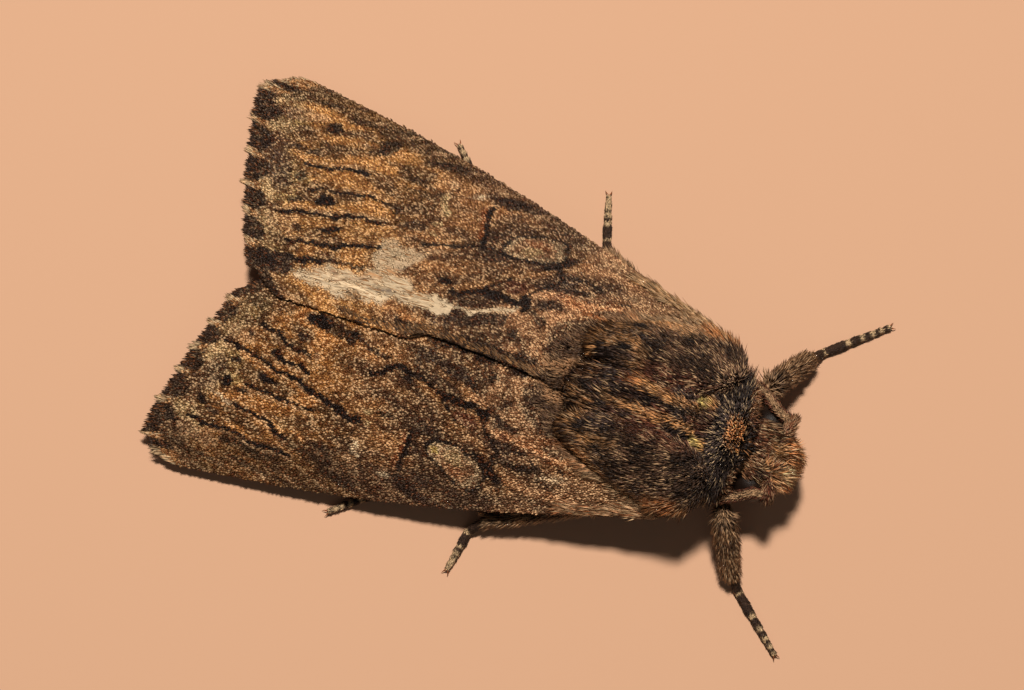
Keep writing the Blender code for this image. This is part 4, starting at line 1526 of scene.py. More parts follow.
@dataclass
class Limb:
    """The skin of a leg's part, a palp or a feeler: a tube through (out, back, up, radius)."""

    region: Region
    side: Side
    keys: Rows
    steps: int = 3

    def __post_init__(self) -> None:
        """Works out the rows along it."""
        self.rows = through(self.keys, self.steps)
        self.rows[:, 0] *= self.side.value
        if self.region in FACE_LIMBS:
            self.rows[:, 0] += turned(self.rows[:, 1])
        runs = np.linalg.norm(np.diff(self.rows[:, :3], axis=0), axis=1)
        self.travel = np.concatenate([[0.0], np.cumsum(runs)])

    @property
    def length(self) -> float:
        """Its length in millimetres."""
        return float(self.travel[-1])

    def nearest(self, points: Array) -> tuple[Array, Array, Array, Array]:
        """How each point lies to the limb.

        Args:
            points: places in millimetres.

        Returns:
            Distance from its skin, travel along it, the way along it there, and the place
            on its middle line.
        """
        best = np.full(len(points), 1e9)
        travel = np.zeros(len(points))
        ahead = np.zeros_like(points)
        middle = np.zeros_like(points)
        for i, (start, end) in enumerate(zip(self.rows[:-1], self.rows[1:])):
            run = end[:3] - start[:3]
            share = np.clip((points - start[:3]) @ run / (run @ run), 0.0, 1.0)
            on = start[:3] + share[:, None] * run
            far = np.linalg.norm(points - on, axis=1) - (start[3] + share * (end[3] - start[3]))
            closer = far < best
            best = np.where(closer, far, best)
            gone = self.travel[i] + share * np.linalg.norm(run)
            travel = np.where(closer, gone, travel)
            ahead[closer] = unit(run)
            middle[closer] = on[closer]
        return best, travel, ahead, middle

    def gap(self, points: Array) -> Array:
        """Rough distance from the skin, below 0 inside it."""
        return self.nearest(points)[0]

    def body(self) -> bmesh.types.BMesh:
        """The limb as a closed body."""
        points = [Vector(row[:3]) for row in self.rows]
        rings = []
        for i, row in enumerate(self.rows):
            ahead = points[min(i + 1, len(points) - 1)] - points[max(i - 1, 0)]
            turn = ahead.to_track_quat("Z", "Y").to_matrix().to_4x4()
            size = Matrix.Diagonal((row[3], row[3], 1.0, 1.0))
            rings.append(Matrix.Translation(points[i]) @ turn @ size)
        return bridged(rings, 12)

    def unwrapped(self, points: Array) -> Array:
        """Places on the unwrap: round the limb, and along it."""
        _, travel, ahead, middle = self.nearest(points)
        side = unit(np.cross(ahead, [0.0, 0.0, 1.0]))
        up = np.cross(side, ahead)
        off = points - middle
        turn = share_round(np.sum(off * side, axis=1), np.sum(off * up, axis=1))
        return rows(turn, travel / self.length)


FLOOR_CENTRE = 0.285
TOE_CENTRE = 0.235
FACE_LIMBS = {
    Region.PALP: ((0.52, 1.50, 2.05, 0.16), (0.60, 0.80, 2.12, 0.20), (0.62, 0.40, 2.42, 0.21),
                  (0.58, 0.36, 2.86, 0.14)),
    Region.SCAPE: ((1.05, 1.20, 4.30, 0.17), (1.42, 1.08, 4.60, 0.17), (1.80, 1.02, 4.42, 0.14)),
    Region.FEELER: ((1.72, 1.20, 4.42, 0.19), (1.82, 1.65, 4.36, 0.19), (2.20, 2.25, 4.10, 0.18),
                    (2.55, 2.80, 3.78, 0.16), (2.90, 3.80, 3.15, 0.13), (3.35, 5.00, 2.95, 0.12),
                    (3.90, 7.20, 3.30, 0.11), (3.80, 9.80, 3.00, 0.10), (3.60, 12.30, 2.60, 0.09)),
}
# Each leg leaves the body at its root and turns at the hip. Each side then has its knee, its
# ankle, the place where the foot reaches the floor, and the toe.
LEGS = {
    "fore": {
        "body": ((1.15, 4.00, 2.60), (1.50, 3.20, 1.45)),
        Side.LEFT: ((2.85, 2.30, 2.95), (4.72, 0.98, 1.00), (5.45, 0.35), (7.55, -2.12)),
        Side.RIGHT: ((3.10, 2.45, 2.95), (5.20, 1.20, 1.00), (5.85, 0.50), (7.92, -1.87)),
    },
    "mid": {
        "body": ((1.20, 6.30, 2.60), (2.00, 6.40, 1.15)),
        Side.LEFT: ((4.40, 7.60, 2.45), (6.25, 10.80, 0.90), (6.95, 11.05), (8.95, 11.64)),
        Side.RIGHT: ((4.40, 7.80, 2.45), (6.60, 12.05, 0.90), (7.30, 12.60), (9.15, 12.92)),
    },
    "hind": {
        "body": ((1.10, 8.60, 2.60), (1.90, 9.10, 1.10)),
        Side.LEFT: ((4.30, 11.60, 1.75), (6.45, 16.10, 0.80), (6.95, 16.75), (8.86, 18.67)),
        Side.RIGHT: ((4.30, 11.60, 1.75), (6.45, 16.10, 0.80), (6.90, 16.80), (8.48, 18.67)),
    },
}
SEGMENTS = {"coxa": (Region.THIGH, 0.36), "femur": (Region.THIGH, 0.28), "tibia": (Region.SHIN, 0.27)}
FOOT_RADIUS = 0.235
FOOT_JOINTS = (0.0, 0.38, 0.58, 0.74, 0.87, 1.0)  # shares of the foot on the floor
FOOT_TAPER = 0.38


def leg_limbs(kind: str, side: Side) -> list[Limb]:
    """The four parts of one leg."""
    plan = LEGS[kind]
    knee, ankle, landing, toe = plan[side]
    joints = [np.array(p) for p in (*plan["body"], knee, ankle)]
    limbs = []
    for (segment, (region, radius)), start, end in zip(SEGMENTS.items(), joints, joints[1:]):
        radius *= 1.3 if (kind, segment) == ("fore", "tibia") else 1.0
        middle = start + (end - start) * 0.45
        keys = ((*start, radius * 0.9), (*middle, radius), (*end, radius * 0.75))
        limbs.append(Limb(region, side, keys))
    floor = np.array((*landing, FLOOR_CENTRE))
    tip = np.array((*toe, TOE_CENTRE))
    keys = [(*joints[3], FOOT_RADIUS)]
    for near, far in zip(FOOT_JOINTS, FOOT_JOINTS[1:]):
        for share, radius in ((near, 0.82), (near + 0.75 * (far - near), 1.0)):
            at = floor + (tip - floor) * share
            keys.append((*at, FOOT_RADIUS * radius * (1.0 - FOOT_TAPER * share)))
    keys.append((*tip, FOOT_RADIUS * (1.0 - FOOT_TAPER) * 0.8))
    limbs.append(Limb(Region.FOOT, side, keys, steps=1))
    return limbs


Form = Union[Trunk, Plate, Limb]


@dataclass
class Samples:
    """Places on the skin, one row each."""

    points: Array
    out: Array  # away from the skin
    place: Array  # on the unwrap


class BodyPattern:
    """The colours of the coat on the body, seen from above and from the sides."""

    def colours(self, region: Region, points: Array) -> Array:
        """Colour of the coat at each place, before its hairs are told apart."""
        paint = {
            Region.HEAD: self.head,
            Region.COLLAR: self.collar,
            Region.THORAX: self.thorax,
            Region.TEGULA: self.tegula,
            Region.ABDOMEN: self.abdomen,
        }
        if region in paint:
            return paint[region](points)
        plain = {
            Region.PALP: Tone.RUST,
            Region.SCAPE: Tone.RED_BROWN,
            Region.FEELER: Tone.RED_BROWN,
            Region.THIGH: Tone.GREY_BROWN,
            Region.SHIN: Tone.GREY_BROWN,
            Region.FOOT: Tone.UMBER,
        }
        return np.tile(plain[region].linear, (len(points), 1))

    @staticmethod
    def flecks(points: Array, size: float) -> Array:
        """Fine flecks stretched backwards, 1 where they are brightest."""
        return smooth(3.0 * Grain(79).layered(points * [1.0, 0.4, 1.0], size) - 1.1)

    @staticmethod
    def along(points: Array, path: Rows, wide: float) -> Array:
        """How much of a streak through (out, back) places lies at each point, seen from above."""
        return smooth((wide / 2 - far_from(points[:, :2], np.array(path))) / 0.25 + 0.5)

    def head(self, points: Array) -> Array:
        """Orange-brown locks with dark between them, golden on the face."""
        _, y, z = points.T
        soft = Grain(71).layered(points, 0.42)
        bright = blend(Tone.ORANGE * 1.1, Tone.HONEY * 1.2, smooth(2.6 * soft - 0.9))
        return overlaid(
            blend(Tone.RED_BROWN * 0.7, Tone.GOLD, smooth(2.8 * soft - 0.8)),
            (bright, 0.9 * smooth((1.15 - y) / 0.5)),
            (Tone.RUST * 1.2, 0.7 * (smooth((3.4 - z) / 0.5) * smooth((1.2 - y) / 0.4))),
            (Tone.UMBER, 0.7 * smooth((y - 1.5) / 0.4)),
        )

    def collar(self, points: Array) -> Array:
        """A brown chevron in front, a black line behind it, then dark hair with an orange middle."""
        x, y, z = points.T
        soft = Grain(72).layered(points, 0.5)
        behind = y - 2.35 - np.where(x > 0, 0.6, 0.5) * np.abs(x + 0.1) + 0.25 * (soft - 0.5)
        dark = blend(Tone.BLACK, Tone.SOOT * 1.6, smooth(2.4 * soft - 0.8))
        line = smooth((np.where(x > 0, 0.16, 0.32) - np.abs(behind - 0.12)) / 0.15)
        patch = smooth((0.62 - np.abs(x - 0.02)) / 0.2 + 0.5) * smooth((behind - 0.3) / 0.2)
        dotted = smooth(3.0 * Grain(77).at(points, 0.12) - 0.8)
        orange = blend(Tone.ORANGE, Tone.GOLD, 0.6) * 2.4
        return overlaid(
            blend(Tone.RED_BROWN * 0.8, Tone.BROWN * 1.2, smooth(2.4 * soft - 0.7)),
            (dark, smooth(behind / 0.2)),
            (Tone.BLACK * 0.8, 0.9 * line),
            (orange, 0.9 * dotted * patch * smooth((3.95 - y) / 0.2 + 0.5)),
            (Tone.BROWN * 0.8, 0.8 * smooth(3.6 - z)),
        )

    def thorax(self, points: Array) -> Array:
        """Dark brown with golden streaks beside the crest and two pale yellow spots."""
        soft = Grain(73).layered(points, 0.6)
        colour = blend(Tone.SOOT, Tone.RED_BROWN * 0.8, smooth(2.4 * soft - 0.7))
        broken = 0.4 + 0.6 * smooth(2.4 * Grain(78).at(points, 0.3) - 0.7)
        for path, wide, tone, shown in (
            (((0.66, 7.92), (0.38, 6.58), (0.26, 5.65), (0.35, 5.14)), 0.46, Tone.GOLD, 1.0),
            (((0.6, 8.6), (0.66, 7.92)), 0.30, Tone.RUST, 0.5),
            (((-0.3, 9.0), (-0.48, 6.86), (-0.49, 5.75), (-0.56, 5.19)), 0.38, Tone.GOLD, 1.0),
            (((-0.06, 8.6), (0.02, 7.3)), 0.60, Tone.BLACK, 0.85),
            (((0.04, 7.26), (0.08, 6.16), (0.15, 5.07)), 0.30, Tone.BLACK, 0.95),
            (((-0.7, 6.3), (-0.8, 5.4)), 0.36, Tone.BLACK, 1.0),
            (((-1.25, 4.9), (-1.1, 4.3), (-0.97, 3.8)), 0.42, Tone.BLACK, 1.0),
            (((0.2, 4.9), (0.1, 3.9)), 0.75, Tone.UMBER, 0.8),
            (((1.35, 5.0), (1.5, 7.9)), 0.45, Tone.RUST, 0.4),
            (((0.85, 4.85), (0.75, 4.2)), 0.40, Tone.GOLD, 0.8),
            (((-0.93, 4.75), (-0.84, 4.1)), 0.42, Tone.GOLD, 1.0),
            (((0.79, 5.0), (0.79, 5.12)), 0.46, Tone.YELLOW, 1.0),
            (((-1.0, 4.88), (-1.0, 5.02)), 0.48, Tone.YELLOW, 1.0),
        ):
            plain = tone in (Tone.BLACK, Tone.UMBER, Tone.YELLOW)
            much = shown * (1.0 if plain else broken)
            bright = tone * (1.0 if plain else 1.7)
            colour = blend(colour, bright, much * self.along(points, path, wide))
        base = blend(Tone.SOOT, Tone.GOLD, self.flecks(points, 0.4))
        return overlaid(
            colour,
            (base, 0.6 * smooth((points[:, 1] - 8.2) / 0.8)),
            (Tone.BROWN * 0.8, 0.7 * smooth((3.2 - points[:, 2]) / 1.2)),
        )

    def tegula(self, points: Array) -> Array:
        """Nearly black-brown, with a red-brown inner side and golden-brown rims."""
        soft = Grain(74).layered(points, 0.7)
        x, y = np.abs(points[:, 0]), points[:, 1]
        outer = smooth((x - 3.5 + 0.4 * soft) / 0.4) * smooth((6.6 - y) / 1.2)
        golden = smooth((points[:, 0] - 3.0) / 0.4) * smooth((y - 5.8) / 0.8)
        dusk = blend(Tone.BROWN * 0.65, Tone.SOOT, 0.5)
        base = blend(Tone.SOOT, Tone.GOLD * 1.2, self.flecks(points, 0.45))
        return overlaid(
            blend(Tone.BLACK, dusk, smooth(2.2 * soft - 0.5)),
            (Tone.RED_BROWN * 0.9, 0.75 * smooth((2.0 - x) / 0.8)),
            (blend(Tone.RUST, Tone.GOLD, soft), 0.85 * outer),
            (base, 0.85 * smooth((y - 7.4 - 0.5 * soft) / 1.0)),
            (blend(Tone.TAN, Tone.GOLD, soft) * 1.3, 0.85 * golden),
        )

    def abdomen(self, points: Array) -> Array:
        """Grey-brown, with paler rear edges to its rings."""
        ring = np.abs(((points[:, 1] - 11.2) / 1.55) % 1.0 - 0.85)
        colour = blend(Tone.GREY_BROWN, Tone.BROWN, Grain(75).layered(points, 0.8))
        return blend(colour, Tone.TAN, 0.5 * smooth((0.14 - ring) / 0.1))


@dataclass
class Body:
    """The flesh under one skin, and the coat of hair and scales that grows on it."""

    voxel: float = 0.085
    collar_rear: float = 4.2
    thorax_rear: float = 10.4

    def __post_init__(self) -> None:
        """Lays out every form that the skin covers."""
        self.forms: list[Form] = [Trunk()]
        for side in Side:
            self.forms.append(Plate(side))
            for region, keys in FACE_LIMBS.items():
                self.forms.append(Limb(region, side, keys))
            for kind in LEGS:
                self.forms += leg_limbs(kind, side)
        self.pattern = BodyPattern()
        self.rng = np.random.default_rng(7)

    def skin_nodes(self) -> list[str]:
        """The solid nodes of flesh, which the skin stands for."""
        bare = ("eye_", "forewing_", "hindwing_")
        return [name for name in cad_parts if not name.startswith(bare)]

    @staticmethod
    def chevron(out: Array) -> Array:
        """How far back the collar's front edge lies."""
        return np.minimum(2.7, 1.85 + 0.42 * np.abs(out + 0.15))

    def regions_at(self, points: Array, owner: Array) -> Array:
        """Region number of each place, from the form that owns it."""
        found = np.array([form.region.value for form in self.forms])[owner]
        x, y, _ = points.T
        trunk = np.select([y < self.chevron(x), y < self.collar_rear, y < self.thorax_rear],
                          [Region.HEAD.value, Region.COLLAR.value, Region.THORAX.value],
                          Region.ABDOMEN.value)
        return np.where(owner == 0, trunk, found)

    def skin(self, bench: Bench) -> None:
        """One closed skin over all the forms."""
        rough = settled(merged(form.body() for form in self.forms), "rough_skin")
        carrier = bpy.data.objects.new("rough_skin", rough)
        bpy.context.scene.collection.objects.link(carrier)
        remesh = carrier.modifiers.new("one_skin", "REMESH")
        remesh.mode = "VOXEL"
        remesh.voxel_size = self.voxel
        soften = carrier.modifiers.new("soften", "SMOOTH")
        soften.factor = 0.5
        soften.iterations = 2
        seen = carrier.evaluated_get(bpy.context.evaluated_depsgraph_get())
        mesh = bpy.data.meshes.new_from_object(seen)
        bpy.data.objects.remove(carrier)
        bpy.data.meshes.remove(rough)
        mesh.calc_loop_triangles()
        self.faces = read(mesh.loop_triangles, "vertices", np.int32)
        self.normals = read(mesh.vertex_normals, "vector")
        self.points = points = read(mesh.vertices, "co")
        gaps = np.stack([form.gap(points) for form in self.forms])
        self.owner = np.argmin(gaps, axis=0)
        self.region = self.regions_at(points, self.owner)
        tones = np.zeros((len(points), 3))
        for region in Region:
            mine = self.region == region.value
            tones[mine] = self.pattern.colours(region, points[mine]) * 0.25
        for number, form in enumerate(self.forms):
            mine = self.owner == number
            if isinstance(form, Limb) and mine.any():
                travel = form.nearest(points[mine])[1]
                tones[mine] = self.limb_colours(form, points[mine], travel) * 0.7
        mesh.vertices.foreach_set("co", bench.metres(points).astype(np.float32).ravel())
        mesh.update()
        bench.paint(mesh, tones)
        mesh.name = "skin"
        bench.piece("skin", mesh, "skin", "thorax", self.skin_nodes())

    def scatter(self, owner: int, region: Region, count: int) -> Samples:
        """Random places on a part of the skin.

        Args:
            owner: number of the form to cover.
            region: region to cover on it.
            count: how many places.

        Returns:
            The places.
        """
        first = self.faces[:, 0]
        faces = self.faces[(self.owner[first] == owner) & (self.region[first] == region.value)]
        a, b, c = (self.points[faces[:, i]] for i in range(3))
        area = np.linalg.norm(np.cross(b - a, c - a), axis=1)
        pick = self.rng.choice(len(faces), count, p=area / area.sum())
        r, s = np.sqrt(self.rng.random(count)), self.rng.random(count)
        weights = rows(1 - r, r * (1 - s), r * s)[..., None]
        chosen = faces[pick]
        points = np.sum(self.points[chosen] * weights, axis=1)
        out = unit(np.sum(self.normals[chosen] * weights, axis=1))
        return Samples(points, out, self.forms[owner].unwrapped(points))

    def tuft(self, seeds: Samples, lie: Array, colour: Array, length: Any, width: float,
             lift: Any, pale: Any, tip: Tone = Tone.HONEY) -> Locks:
        """Tufts of hair on seeds.

        Args:
            seeds: the roots.
            lie: the way that each tip points.
            colour: each tuft's colour.
            length: length of each, in millimetres, or one length for all.
            width: half of a tuft's width.
            lift: how steeply they rise.
            pale: share of the tufts with a pale tip.
            tip: the colour of a pale tip.

        Returns:
            The tufts.
        """
        rng, count = self.rng, len(seeds.points)
        dark = rng.random((count, 1)) < 0.4
        pale = pale * smooth((colour.mean(axis=1) - 0.012) / 0.035 + 0.25)
        colour = colour * np.where(dark, rng.uniform(0.2, 0.45, (count, 1)),
                                   rng.uniform(0.7, 1.6, (count, 1)))
        is_pale = smooth((pale - rng.random(count)) / 0.12 + 0.5)
        end = blend(colour * 1.2, tip * rng.uniform(0.7, 1.5, (count, 1)), is_pale)
        middle = blend(colour, end, 0.22 * is_pale)
        return Locks(
            root=seeds.points - seeds.out * 0.03,
            out=seeds.out,
            lie=unit(lie) + rng.normal(0.0, 0.14, (count, 3)),
            place=seeds.place,
            length=length * rng.uniform(0.7, 1.25, count),
            width=width * rng.uniform(0.7, 1.3, count),
            thick=width * 0.6,
            lift=lift * rng.uniform(0.5, 1.5, count),
            curl=0.75,
            tones=np.stack([colour * 0.3, middle, end], axis=1),
        )

    @staticmethod
    def tips(points: Array, lie: Array, length: Array) -> Array:
        """About where the hairs are seen, for roots at the points."""
        return points + unit(lie) * (0.65 * length)[:, None]

    def clumped(self, points: Array, lie: Array, size: float, amount: float) -> Array:
        """The lie of hair that gathers into locks of a size."""
        pull = rows(*(Grain(81 + i).at(points, size) for i in range(3))) - 0.5
        return unit(lie) + pull * amount

    def thorax_coat(self, bench: Bench) -> None:
        """Long hair on the thorax, closing to a V over the wing bases."""
        seeds = self.scatter(0, Region.THORAX, 28000)
        p, (x, y, z) = seeds.points, seeds.points.T
        top = smooth((z - 3.6) / 1.0)
        toward = -np.sign(x) * smooth((y - 7.5) / 2.5) * 0.45 * top
        apart = 0.16 * x * smooth((7.0 - y) / 2.0)
        wall = smooth((seeds.out[:, 1] - 0.3) / 0.4) * smooth((y - 7.5) / 1.0) * top
        lie = rows(toward + apart, 1.0, -0.35 * (1 - top) - 1.6 * wall)
        lie = self.clumped(p, lie, 0.45, 0.5)
        length = 0.5 + 0.15 * smooth((y - 5.5) / 3.0) + 0.3 * wall
        colour = self.pattern.colours(Region.THORAX, self.tips(p, lie, length))
        locks = self.tuft(seeds, lie, colour, length, 0.034, 0.75 - 0.1 * wall, 0.14, Tone.SAND)
        bench.coat("coat_thorax", locks, 0.6, "body_hair", "thorax")

    def collar_coat(self, bench: Bench) -> None:
        """The collar's hair, fanned backwards."""
        seeds = self.scatter(0, Region.COLLAR, 17000)
        p, (x, y, z) = seeds.points, seeds.points.T
        behind = y - 3.3 - 0.1 * np.abs(x)
        lie = rows(0.3 * x, 1.0, 0.25 * smooth((z - 3.5) / 1.5))
        ahead = smooth(-behind / 0.25)
        front = rows(0.25 * x, -1.0, 0.55)
        lie = self.clumped(p, blend(lie, front, ahead), 0.3, 0.5)
        parting = np.exp(-((behind / 0.3) ** 2))
        length = 0.45 + 0.1 * parting
        colour = self.pattern.colours(Region.COLLAR, self.tips(p, lie, length))
        locks = self.tuft(seeds, lie, colour, length, 0.032, 0.8 + 1.1 * parting, 0.16)
        bench.coat("coat_collar", locks, 0.6, "body_hair", "collar")

    def tegula_coats(self, bench: Bench) -> None:
        """Long dark hair on each shoulder, standing out round its front and outer side."""
        for number, form in enumerate(self.forms):
            if form.region is not Region.TEGULA:
                continue
            seeds = self.scatter(number, Region.TEGULA, 20000)
            p, (x, y, z), sign = seeds.points, seeds.points.T, form.side.value
            wall = smooth((seeds.out[:, 1] - 0.3) / 0.4) * smooth((y - 7.0) / 1.0)
            lie = rows(sign * (0.28 - 0.06 * (y - 4)), 1.0, -1.6 * wall)
            rim = smooth((np.abs(x) - 2.6) / 0.6) * smooth((5.9 - y) / 0.8)
            rim *= smooth((5.6 - z) / 0.6)
            spread = rows(1.2 * sign, 0.7 * (y - 4.2), -0.2)
            lie = self.clumped(p, blend(lie, spread, 0.8 * rim), 0.4, 0.7)
            rear = smooth((y - 7.5) / 2.5)
            length = 0.5 + rear * (0.3 * Grain(87).at(p, 0.4) - 0.05) + 0.4 * rim + 0.35 * wall
            colour = self.pattern.colours(Region.TEGULA, self.tips(p, lie, length))
            cluster = smooth(3.0 * Grain(88).at(self.tips(p, lie, length), 0.5) - 1.0)
            cluster = np.maximum(cluster, smooth((sign * x - 3.0) / 0.4))
            colour = colour * (0.55 + 0.75 * cluster)[:, None]
            locks = self.tuft(seeds, lie, colour, length, 0.032, 0.6, 0.05 + 0.2 * cluster,
                              Tone.SAND)
            name = f"coat_tegula_{form.side.word}"
            bench.coat(name, locks, 0.6, "body_hair", "thorax")

    def head_coat(self, bench: Bench) -> None:
        """Shaggy hair on the head, forwards over the face and up between the feelers."""
        seeds = self.scatter(0, Region.HEAD, 12000)
        p, (x, y, z) = seeds.points, seeds.points.T
        top = smooth((z - 3.6) / 0.7)
        lie = rows(0.35 * (x - turned(y)), -1.0, 0.9 * top - 0.5)
        lie = self.clumped(p, lie, 0.42, 1.5)
        tall = Grain(86).at(p, 0.42)
        length = (0.28 + 0.4 * tall) * (1.0 + 0.3 * top)
        colour = self.pattern.colours(Region.HEAD, self.tips(p, lie, length))
        # painted shade and highlight: short, low locks are darker, as shade between the locks, and tall
        # ones lighter, as painted highlight
        colour = colour * (0.35 + 1.3 * tall)[:, None]
        locks = self.tuft(seeds, lie, colour, length, 0.03, 0.35 + 0.7 * tall,
                          0.2 + 0.3 * smooth((1.2 - y) / 0.5))
        clear = np.ones(len(p), bool)
        for side in Side:
            eye = np.array(Eye(side).centre)
            clear &= np.linalg.norm(p - eye, axis=1) > Eye(side).radius - 0.3
        bench.coat("coat_head", locks.chosen(clear), 0.55, "body_hair", "head")

    def abdomen_coat(self, bench: Bench) -> None:
        """Flat hair on the abdomen, longer at its end."""
        seeds = self.scatter(0, Region.ABDOMEN, 11000)
        p = seeds.points
        lie = np.tile([0.0, 1.0, 0.0], (len(p), 1))
        length = 0.45 + 0.35 * smooth((p[:, 1] - 20.6) / 0.8)
        colour = self.pattern.colours(Region.ABDOMEN, p)
        locks = self.tuft(seeds, lie, colour, length, 0.045, 0.4, 0.2)
        bench.coat("coat_abdomen", locks, 0.5, "body_hair", "abdomen")

    def limb_locks(self, wanted: Region, density: float, length: float, width: float,
                   lift: float, pale: float) -> Locks:
        """Hair along limbs, tips towards each limb's end.

        Args:
            wanted: the region of the limbs.
            density: tufts for each square millimetre of a plain tube round each limb.
            length: length of a tuft.
            width: half of its width.
            lift: how steeply it rises.
            pale: share with a pale tip.

        Returns:
            The tufts of all those limbs.
        """
        parts = []
        limbs = [i for i, form in enumerate(self.forms) if form.region is wanted]
        columns = math.ceil(math.sqrt(len(limbs)))
        for cell, number in enumerate(limbs):
            form = self.forms[number]
            girth = 2 * math.pi * form.rows[:, 3].mean()
            seeds = self.scatter(number, wanted, int(density * girth * form.length))
            p = seeds.points
            _, travel, ahead, _ = form.nearest(p)
            local = 0.04 + 0.92 * seeds.place
            seeds.place = (local + np.array([cell % columns, cell // columns])) / columns
            colour = self.limb_colours(form, p, travel)
            lie = self.clumped(p, ahead, 0.25, 0.4)
            locks = self.tuft(seeds, lie, colour, length, width, lift, pale, Tone.SAND)
            locks.length = np.minimum(locks.length, form.length - travel + 0.35)
            sink = locks.root[:, 2] - 0.04
            locks.lift = np.where((seeds.out[:, 2] < 0) & (sink < locks.lift * locks.length),
                                  np.maximum(sink, 0.0) / locks.length, locks.lift)
            parts.append(locks)
        return joined_locks(parts)

    def limb_colours(self, form: Limb, points: Array, travel: Array) -> Array:
        """Colours along a limb: rings on the feet, mottling on the rest."""
        colour = self.pattern.colours(form.region, points)
        if form.region is Region.FOOT:
            landing = float(np.linalg.norm(form.rows[1, :3] - form.rows[0, :3]))
            share = (travel - landing) / (form.length - landing)
            share = share + 0.05 / (form.length - landing)  # where the tuft shows
            near = np.min(np.abs(share[:, None] - np.array(FOOT_JOINTS)), axis=1)
            ring = smooth((0.1 - near * (form.length - landing)) / 0.06 + 0.5)
            return blend(colour, Tone.HONEY, 0.9 * ring)
        soft = Grain(91).layered(points, 0.5)
        if form.region is Region.SHIN:
            colour = blend(colour, Tone.TAN, smooth(2.4 * soft - 0.7))
            end = smooth((travel / form.length - 0.86) / 0.08)
            return blend(colour, Tone.SAND, 0.5 * end)
        if form.region is Region.FEELER:
            top = smooth((points[:, 2] - form.nearest(points)[3][:, 2] - 0.09) / 0.05)
            return blend(colour, Tone.SAND, 0.7 * top)
        return blend(colour, Tone.BROWN, smooth(2.4 * soft - 0.7))

    def limb_coats(self, bench: Bench) -> None:
        """Hair of the legs, palps and feelers."""
        # density, length, half width, rise and share of pale tips of each region's tufts
        kinds = {
            ("coat_thighs", "leg"): {Region.THIGH: (200, 0.45, 0.032, 0.7, 0.25)},
            ("coat_shins", "leg"): {Region.SHIN: (420, 0.5, 0.03, 0.75, 0.3)},
            ("coat_feet", "foot"): {Region.FOOT: (420, 0.14, 0.026, 0.5, 0.0)},
            ("coat_palps", "head"): {Region.PALP: (500, 0.36, 0.026, 0.9, 0.35)},
            ("coat_feelers", "antenna"): {Region.FEELER: (330, 0.2, 0.024, 0.9, 0.1),
                                          Region.SCAPE: (700, 0.36, 0.026, 0.7, 0.3)},
        }
        for (name, slot), regions in kinds.items():
            parts = [self.limb_locks(region, *numbers) for region, numbers in regions.items()]
            bench.coat(name, joined_locks(parts), 0.45, "body_hair", slot)

    def dress(self, bench: Bench) -> None:
        """Makes the skin and all its hair."""
        self.skin(bench)
        self.thorax_coat(bench)
        self.collar_coat(bench)
        self.tegula_coats(bench)
        self.head_coat(bench)
        self.abdomen_coat(bench)
        self.limb_coats(bench)


# ------------------------------------------------------------------ eyes and claws


@dataclass(frozen=True)
class Eye:
    """A compound eye: a ball sunk in the side of the head."""

    side: Side
    radius: float = 0.83

    @property
    def centre(self) -> tuple[float, float, float]:
        """Its middle, with the head's turn."""
        out, back, up = 1.35, 1.85, 3.35
        return (out * self.side.value + float(turned(back)), back, up)

    def make(self, bench: Bench) -> None:
        """The eye as a piece."""
        bm = bmesh.new()
        bmesh.ops.create_icosphere(bm, subdivisions=5, radius=self.radius)
        bmesh.ops.translate(bm, vec=Vector(self.centre), verts=bm.verts)
        bench.put(bm, corners_of(bm))
        name = f"compound_eye_{self.side.word}"
        bench.piece(name, settled(bm, name), "compound_eye", "eye", [f"eye_{self.side.word}"])


@dataclass
class Claws:
    """The two hooked claws at the end of each foot."""

    length: float = 0.30
    radius: float = 0.05
    spread: float = 0.5

    def hook(self, tip: Array, ahead: Array, hand: int) -> bmesh.types.BMesh:
        """One claw, from the foot's end outwards and down to the floor."""
        across = np.cross(ahead, [0.0, 0.0, 1.0]) * hand
        rings = []
        for share in np.linspace(0.0, 1.0, 7):
            way = ahead * share + across * self.spread * math.sin(share * 1.4)
            at = tip + way * self.length
            at[2] = max(0.03, tip[2] + 0.05 * math.sin(3.0 * share) - 0.17 * share**2)
            wide = max(0.006, self.radius * (1.0 - share) ** 0.8)
            turn = Vector(ahead).to_track_quat("Z", "Y").to_matrix().to_4x4()
            size = Matrix.Diagonal((wide, wide, 1.0, 1.0))
            rings.append(Matrix.Translation(Vector(at)) @ turn @ size)
        return bridged(rings, 8)

    def make(self, bench: Bench) -> None:
        """All the claws as one piece."""
        hooks = []
        for kind, side in itertools.product(LEGS, Side):
            foot = leg_limbs(kind, side)[-1]
            ahead = unit(foot.rows[-1, :3] - foot.rows[-2, :3])
            tip = foot.rows[-1, :3] - ahead * 0.05
            hooks += [self.hook(tip, ahead, hand) for hand in (-1, 1)]
        whole = merged(hooks)
        bench.put(whole, corners_of(whole))
        mesh = settled(whole, "claws")
        bench.paint(mesh, Tone.AMBER.linear)
        bench.piece("claws", mesh, "claw_horn", "foot")


# ------------------------------------------------------------------ studio


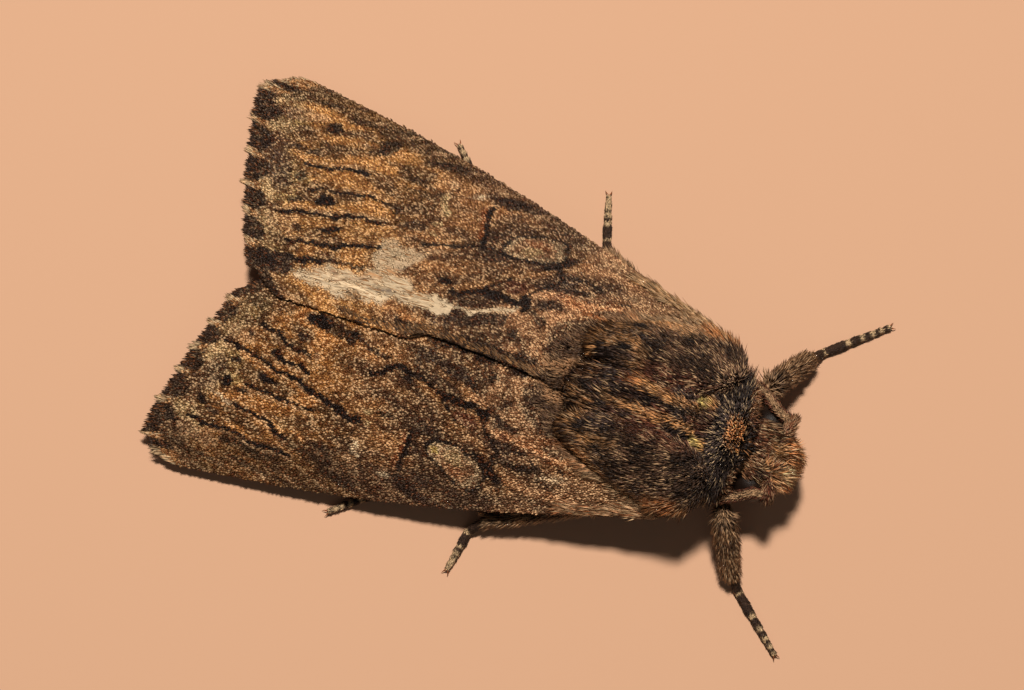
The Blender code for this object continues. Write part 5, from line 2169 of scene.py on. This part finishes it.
@dataclass
class Studio:
    """A pale floor, a warm lamp with a soft edge, and the camera above."""

    view_width: float = 44.34  # mm seen across the picture at the moth's height
    lens: float = 105.0
    sensor: float = 36.0
    aim: tuple[float, float, float] = (0.80, 13.5, 3.0)
    heading: float = -19.4  # degrees, of the moth in the picture
    tip: float = -7.5  # degrees that the camera leans to the moth's left
    lamp_angle: float = 23.5  # degrees of the lamp from the camera's axis

    def axes(self) -> Matrix:
        """The camera's right, up and back as the columns of a matrix."""
        turn = math.radians(self.heading)
        right = Vector((-math.sin(turn), -math.cos(turn), 0.0))
        up = Vector((math.cos(turn), -math.sin(turn), 0.0))
        lean = Matrix.Rotation(math.radians(self.tip), 3, "Y")
        return lean @ Matrix((right, up, Vector((0.0, 0.0, 1.0)))).transposed()

    def set_up(self, bench: Bench) -> None:
        """Places the floor, the lights and the camera."""
        scene = bpy.context.scene
        axes = self.axes()
        target = Vector(bench.metres(np.array(self.aim)))
        distance = self.view_width * self.lens / self.sensor * MM
        camera = bpy.data.cameras.new("camera")
        camera.lens = self.lens
        camera.sensor_width = self.sensor
        camera.clip_start = 0.001
        view = bpy.data.objects.new("camera", camera)
        view.matrix_world = Matrix.Translation(target + axes.col[2] * distance) @ axes.to_4x4()
        scene.collection.objects.link(view)
        scene.camera = view
        self.lamp(target, axes, 0.30, self.lamp_angle, 0.026, 1.25, (1.0, 0.92, 0.84))
        self.lamp(target, axes, 0.30, -35.0, 0.25, 0.04, (1.0, 0.95, 0.90))
        world = bpy.data.worlds.new("room")
        world.use_nodes = True
        glow = world.node_tree.nodes["Background"]
        glow.inputs["Color"].default_value = (1.0, 0.93, 0.87, 1.0)
        glow.inputs["Strength"].default_value = 0.05
        scene.world = world
        scene.view_settings.view_transform = "Standard"
        bm = bmesh.new()
        bmesh.ops.create_grid(bm, x_segments=1, y_segments=1, size=0.3)
        mesh = settled(bm, "floor")
        mesh.materials.append(bench.finishes["pale_floor"])
        floor = bpy.data.objects.new("floor", mesh)
        scene.collection.objects.link(floor)

    @staticmethod
    def lamp(target: Vector, axes: Matrix, distance: float, angle: float, size: float,
             power: float, colour: tuple[float, float, float]) -> None:
        """One square lamp, turned up from the camera's axis by an angle."""
        light = bpy.data.lights.new("lamp", "AREA")
        light.size = size
        light.energy = power
        light.color = colour
        turn = math.radians(angle)
        way = axes.col[2] * math.cos(turn) + axes.col[1] * math.sin(turn)
        made = bpy.data.objects.new("lamp", light)
        made.rotation_euler = way.to_track_quat("Z", "Y").to_euler()
        made.location = target + way * distance
        bpy.context.scene.collection.objects.link(made)


def main() -> None:
    """Dresses the moth and sets up the studio."""
    logging.basicConfig(level=logging.INFO, format="%(message)s")
    bench = Bench()
    Studio().set_up(bench)
    Body().dress(bench)
    for side in Side:
        Forewing(side).dress(bench)
        Hindwing(side).dress(bench)
        Eye(side).make(bench)
    Claws().make(bench)


if __name__ == "__main__":
    main()
